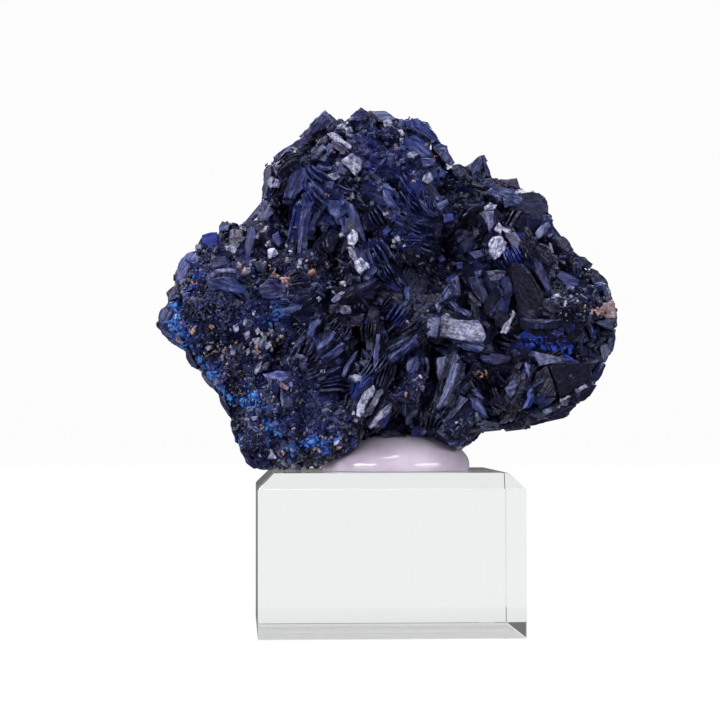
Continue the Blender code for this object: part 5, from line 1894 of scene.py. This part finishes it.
def paper_material():
    """Paper that glows to the eye, and is darker in the crystals' reflections."""
    material = bpy.data.materials.new("white paper")
    material.use_nodes = True
    wire = Wiring(material.node_tree)
    wire.nodes.clear()
    paper = wire.nodes.new("ShaderNodeBsdfDiffuse")
    paper.inputs["Color"].default_value = (0.05, 0.05, 0.05, 1.0)
    glow = wire.nodes.new("ShaderNodeEmission")
    wire.links.new(brightness(wire, "Object", -0.5, 0.05, PAPER_GLOW), glow.inputs["Strength"])
    lit = wire.nodes.new("ShaderNodeAddShader")
    wire.links.new(paper.outputs[0], lit.inputs[0])
    wire.links.new(glow.outputs[0], lit.inputs[1])
    wire.links.new(lit.outputs[0], wire.nodes.new("ShaderNodeOutputMaterial").inputs[0])
    return material


def studio_room():
    """A dim room. Through the acrylic it is pale ahead and grey behind, which draws the block's edges."""
    world = bpy.data.worlds.new("studio room")
    world.use_nodes = True
    wire = Wiring(world.node_tree)
    background = wire.nodes["Background"]
    background.inputs["Color"].default_value = (0.98, 0.985, 1.0, 1.0)
    wire.links.new(brightness(wire, "Generated", -0.3, 0.7, ROOM_GLOW), background.inputs["Strength"])
    return world


def paper_sweep():
    """A floor that curves up into a backdrop, like a roll of paper."""
    deselect_all()
    bpy.ops.mesh.primitive_plane_add(size=SWEEP_SIZE, location=(0.0, 0.0, 0.0))
    sweep = bpy.context.object
    sweep.name = "paper_sweep"
    bpy.ops.object.mode_set(mode="EDIT")
    bpy.ops.mesh.select_mode(type="EDGE")

    def at_back(edge):
        return middle_of(edge).y > 0.48 * SWEEP_SIZE

    choose(sweep.data, "edges", at_back)
    bpy.ops.mesh.extrude_region_move(TRANSFORM_OT_translate={"value": (0.0, 0.0, SWEEP_HEIGHT)})
    choose(sweep.data, "edges", lambda edge: at_back(edge) and abs(middle_of(edge).z) < 0.01)
    bpy.ops.mesh.bevel(offset=SWEEP_CURVE, segments=12, affect="EDGES")
    end_editing()
    sweep.data.shade_smooth()
    sweep.data.materials.append(paper_material())


def light_stage():
    """Low softboxes left and right of the camera, one overhead, three behind for the far side, a dim room."""
    for softbox in SOFTBOXES:
        data = bpy.data.lights.new(softbox.name, "AREA")
        data.shape = "RECTANGLE"
        data.size = softbox.width
        data.size_y = softbox.height
        data.energy = softbox.power
        data.color = LIGHT_COLOUR
        light = new_object(softbox.name, data)
        light.location = softbox.place
        light.rotation_euler = (LIGHT_TARGET - light.location).to_track_quat("-Z", "Y").to_euler()
        light.visible_transmission = False
    bpy.context.scene.world = studio_room()
    bpy.context.scene.view_settings.view_transform = "Standard"


# The whole specimen

# The share of the sites that druse takes, by habit: thick on the left lobe, thinner elsewhere
THICK_DRUSE = {"grain": 1.0, "block": 0.25, "slab": 0.05, "sheaf": 0.1}
THIN_DRUSE = {"grain": 0.5, "block": 0.5, "slab": 0.3, "sheaf": 0.45}


def bare_rock():
    """The mass in its last shape, and what the growth on it needs to know."""
    outline = Outline()
    mass = welded_mass()
    hollows = Lay.seen(ground_of(mass), HOLLOWS)
    deepen_hollows(mass, hollows)
    lower_tip(mass)
    keep_to_outline(mass, outline)
    ground = ground_of(mass)
    return Rock(mass, ground, outline, Lay(ground, hollows), make_forms())


def grown(rock):
    """The mass and all that grows on it. Each kind has its seed, the places that it tries, and their gap."""
    pieces = [
        rock.mass,
        outlined_crystals(rock),
        grow_books(rock, "blade_books_left", SEED, 16000, 1.5, -1),
        grow_books(rock, "blade_books_right", SEED, 16000, 1.5, 1),
        grow_slabs(rock, "thick_plates", SEED + 3, 6000, 2.0),
        grow_stubby(rock, "stubby_crystals", SEED + 1, 24000, 1.0),
        grow_druse(rock, "fine_druse", SEED + 2, 90000, 0.36, -1, THICK_DRUSE),
        grow_druse(rock, "fine_druse_behind", SEED + 2, 60000, 0.42, 1, THICK_DRUSE),
        grow_druse(rock, "scattered_druse", SEED + 7, 40000, 0.6, -1, THIN_DRUSE),
        grow_druse(rock, "scattered_druse_behind", SEED + 7, 26000, 0.7, 1, THIN_DRUSE),
        place_flecks(rock),
    ]
    dress_mass(rock)
    return pieces


def main():
    place_camera()
    rock = bare_rock()
    crystals = grown(rock)
    azurite = azurite_material()
    for piece in crystals:
        piece.data.materials.clear()
        piece.data.materials.append(azurite)
        finish_piece(piece, "azurite_cluster" if piece is rock.mass else None)
    glue = glue_dome()
    glue.data.materials.append(glue_material())
    finish_piece(glue, "mounting_glue")
    block = display_block()
    block.data.materials.append(block_material())
    finish_piece(block, "clear_block")
    paper_sweep()
    light_stage()


main()
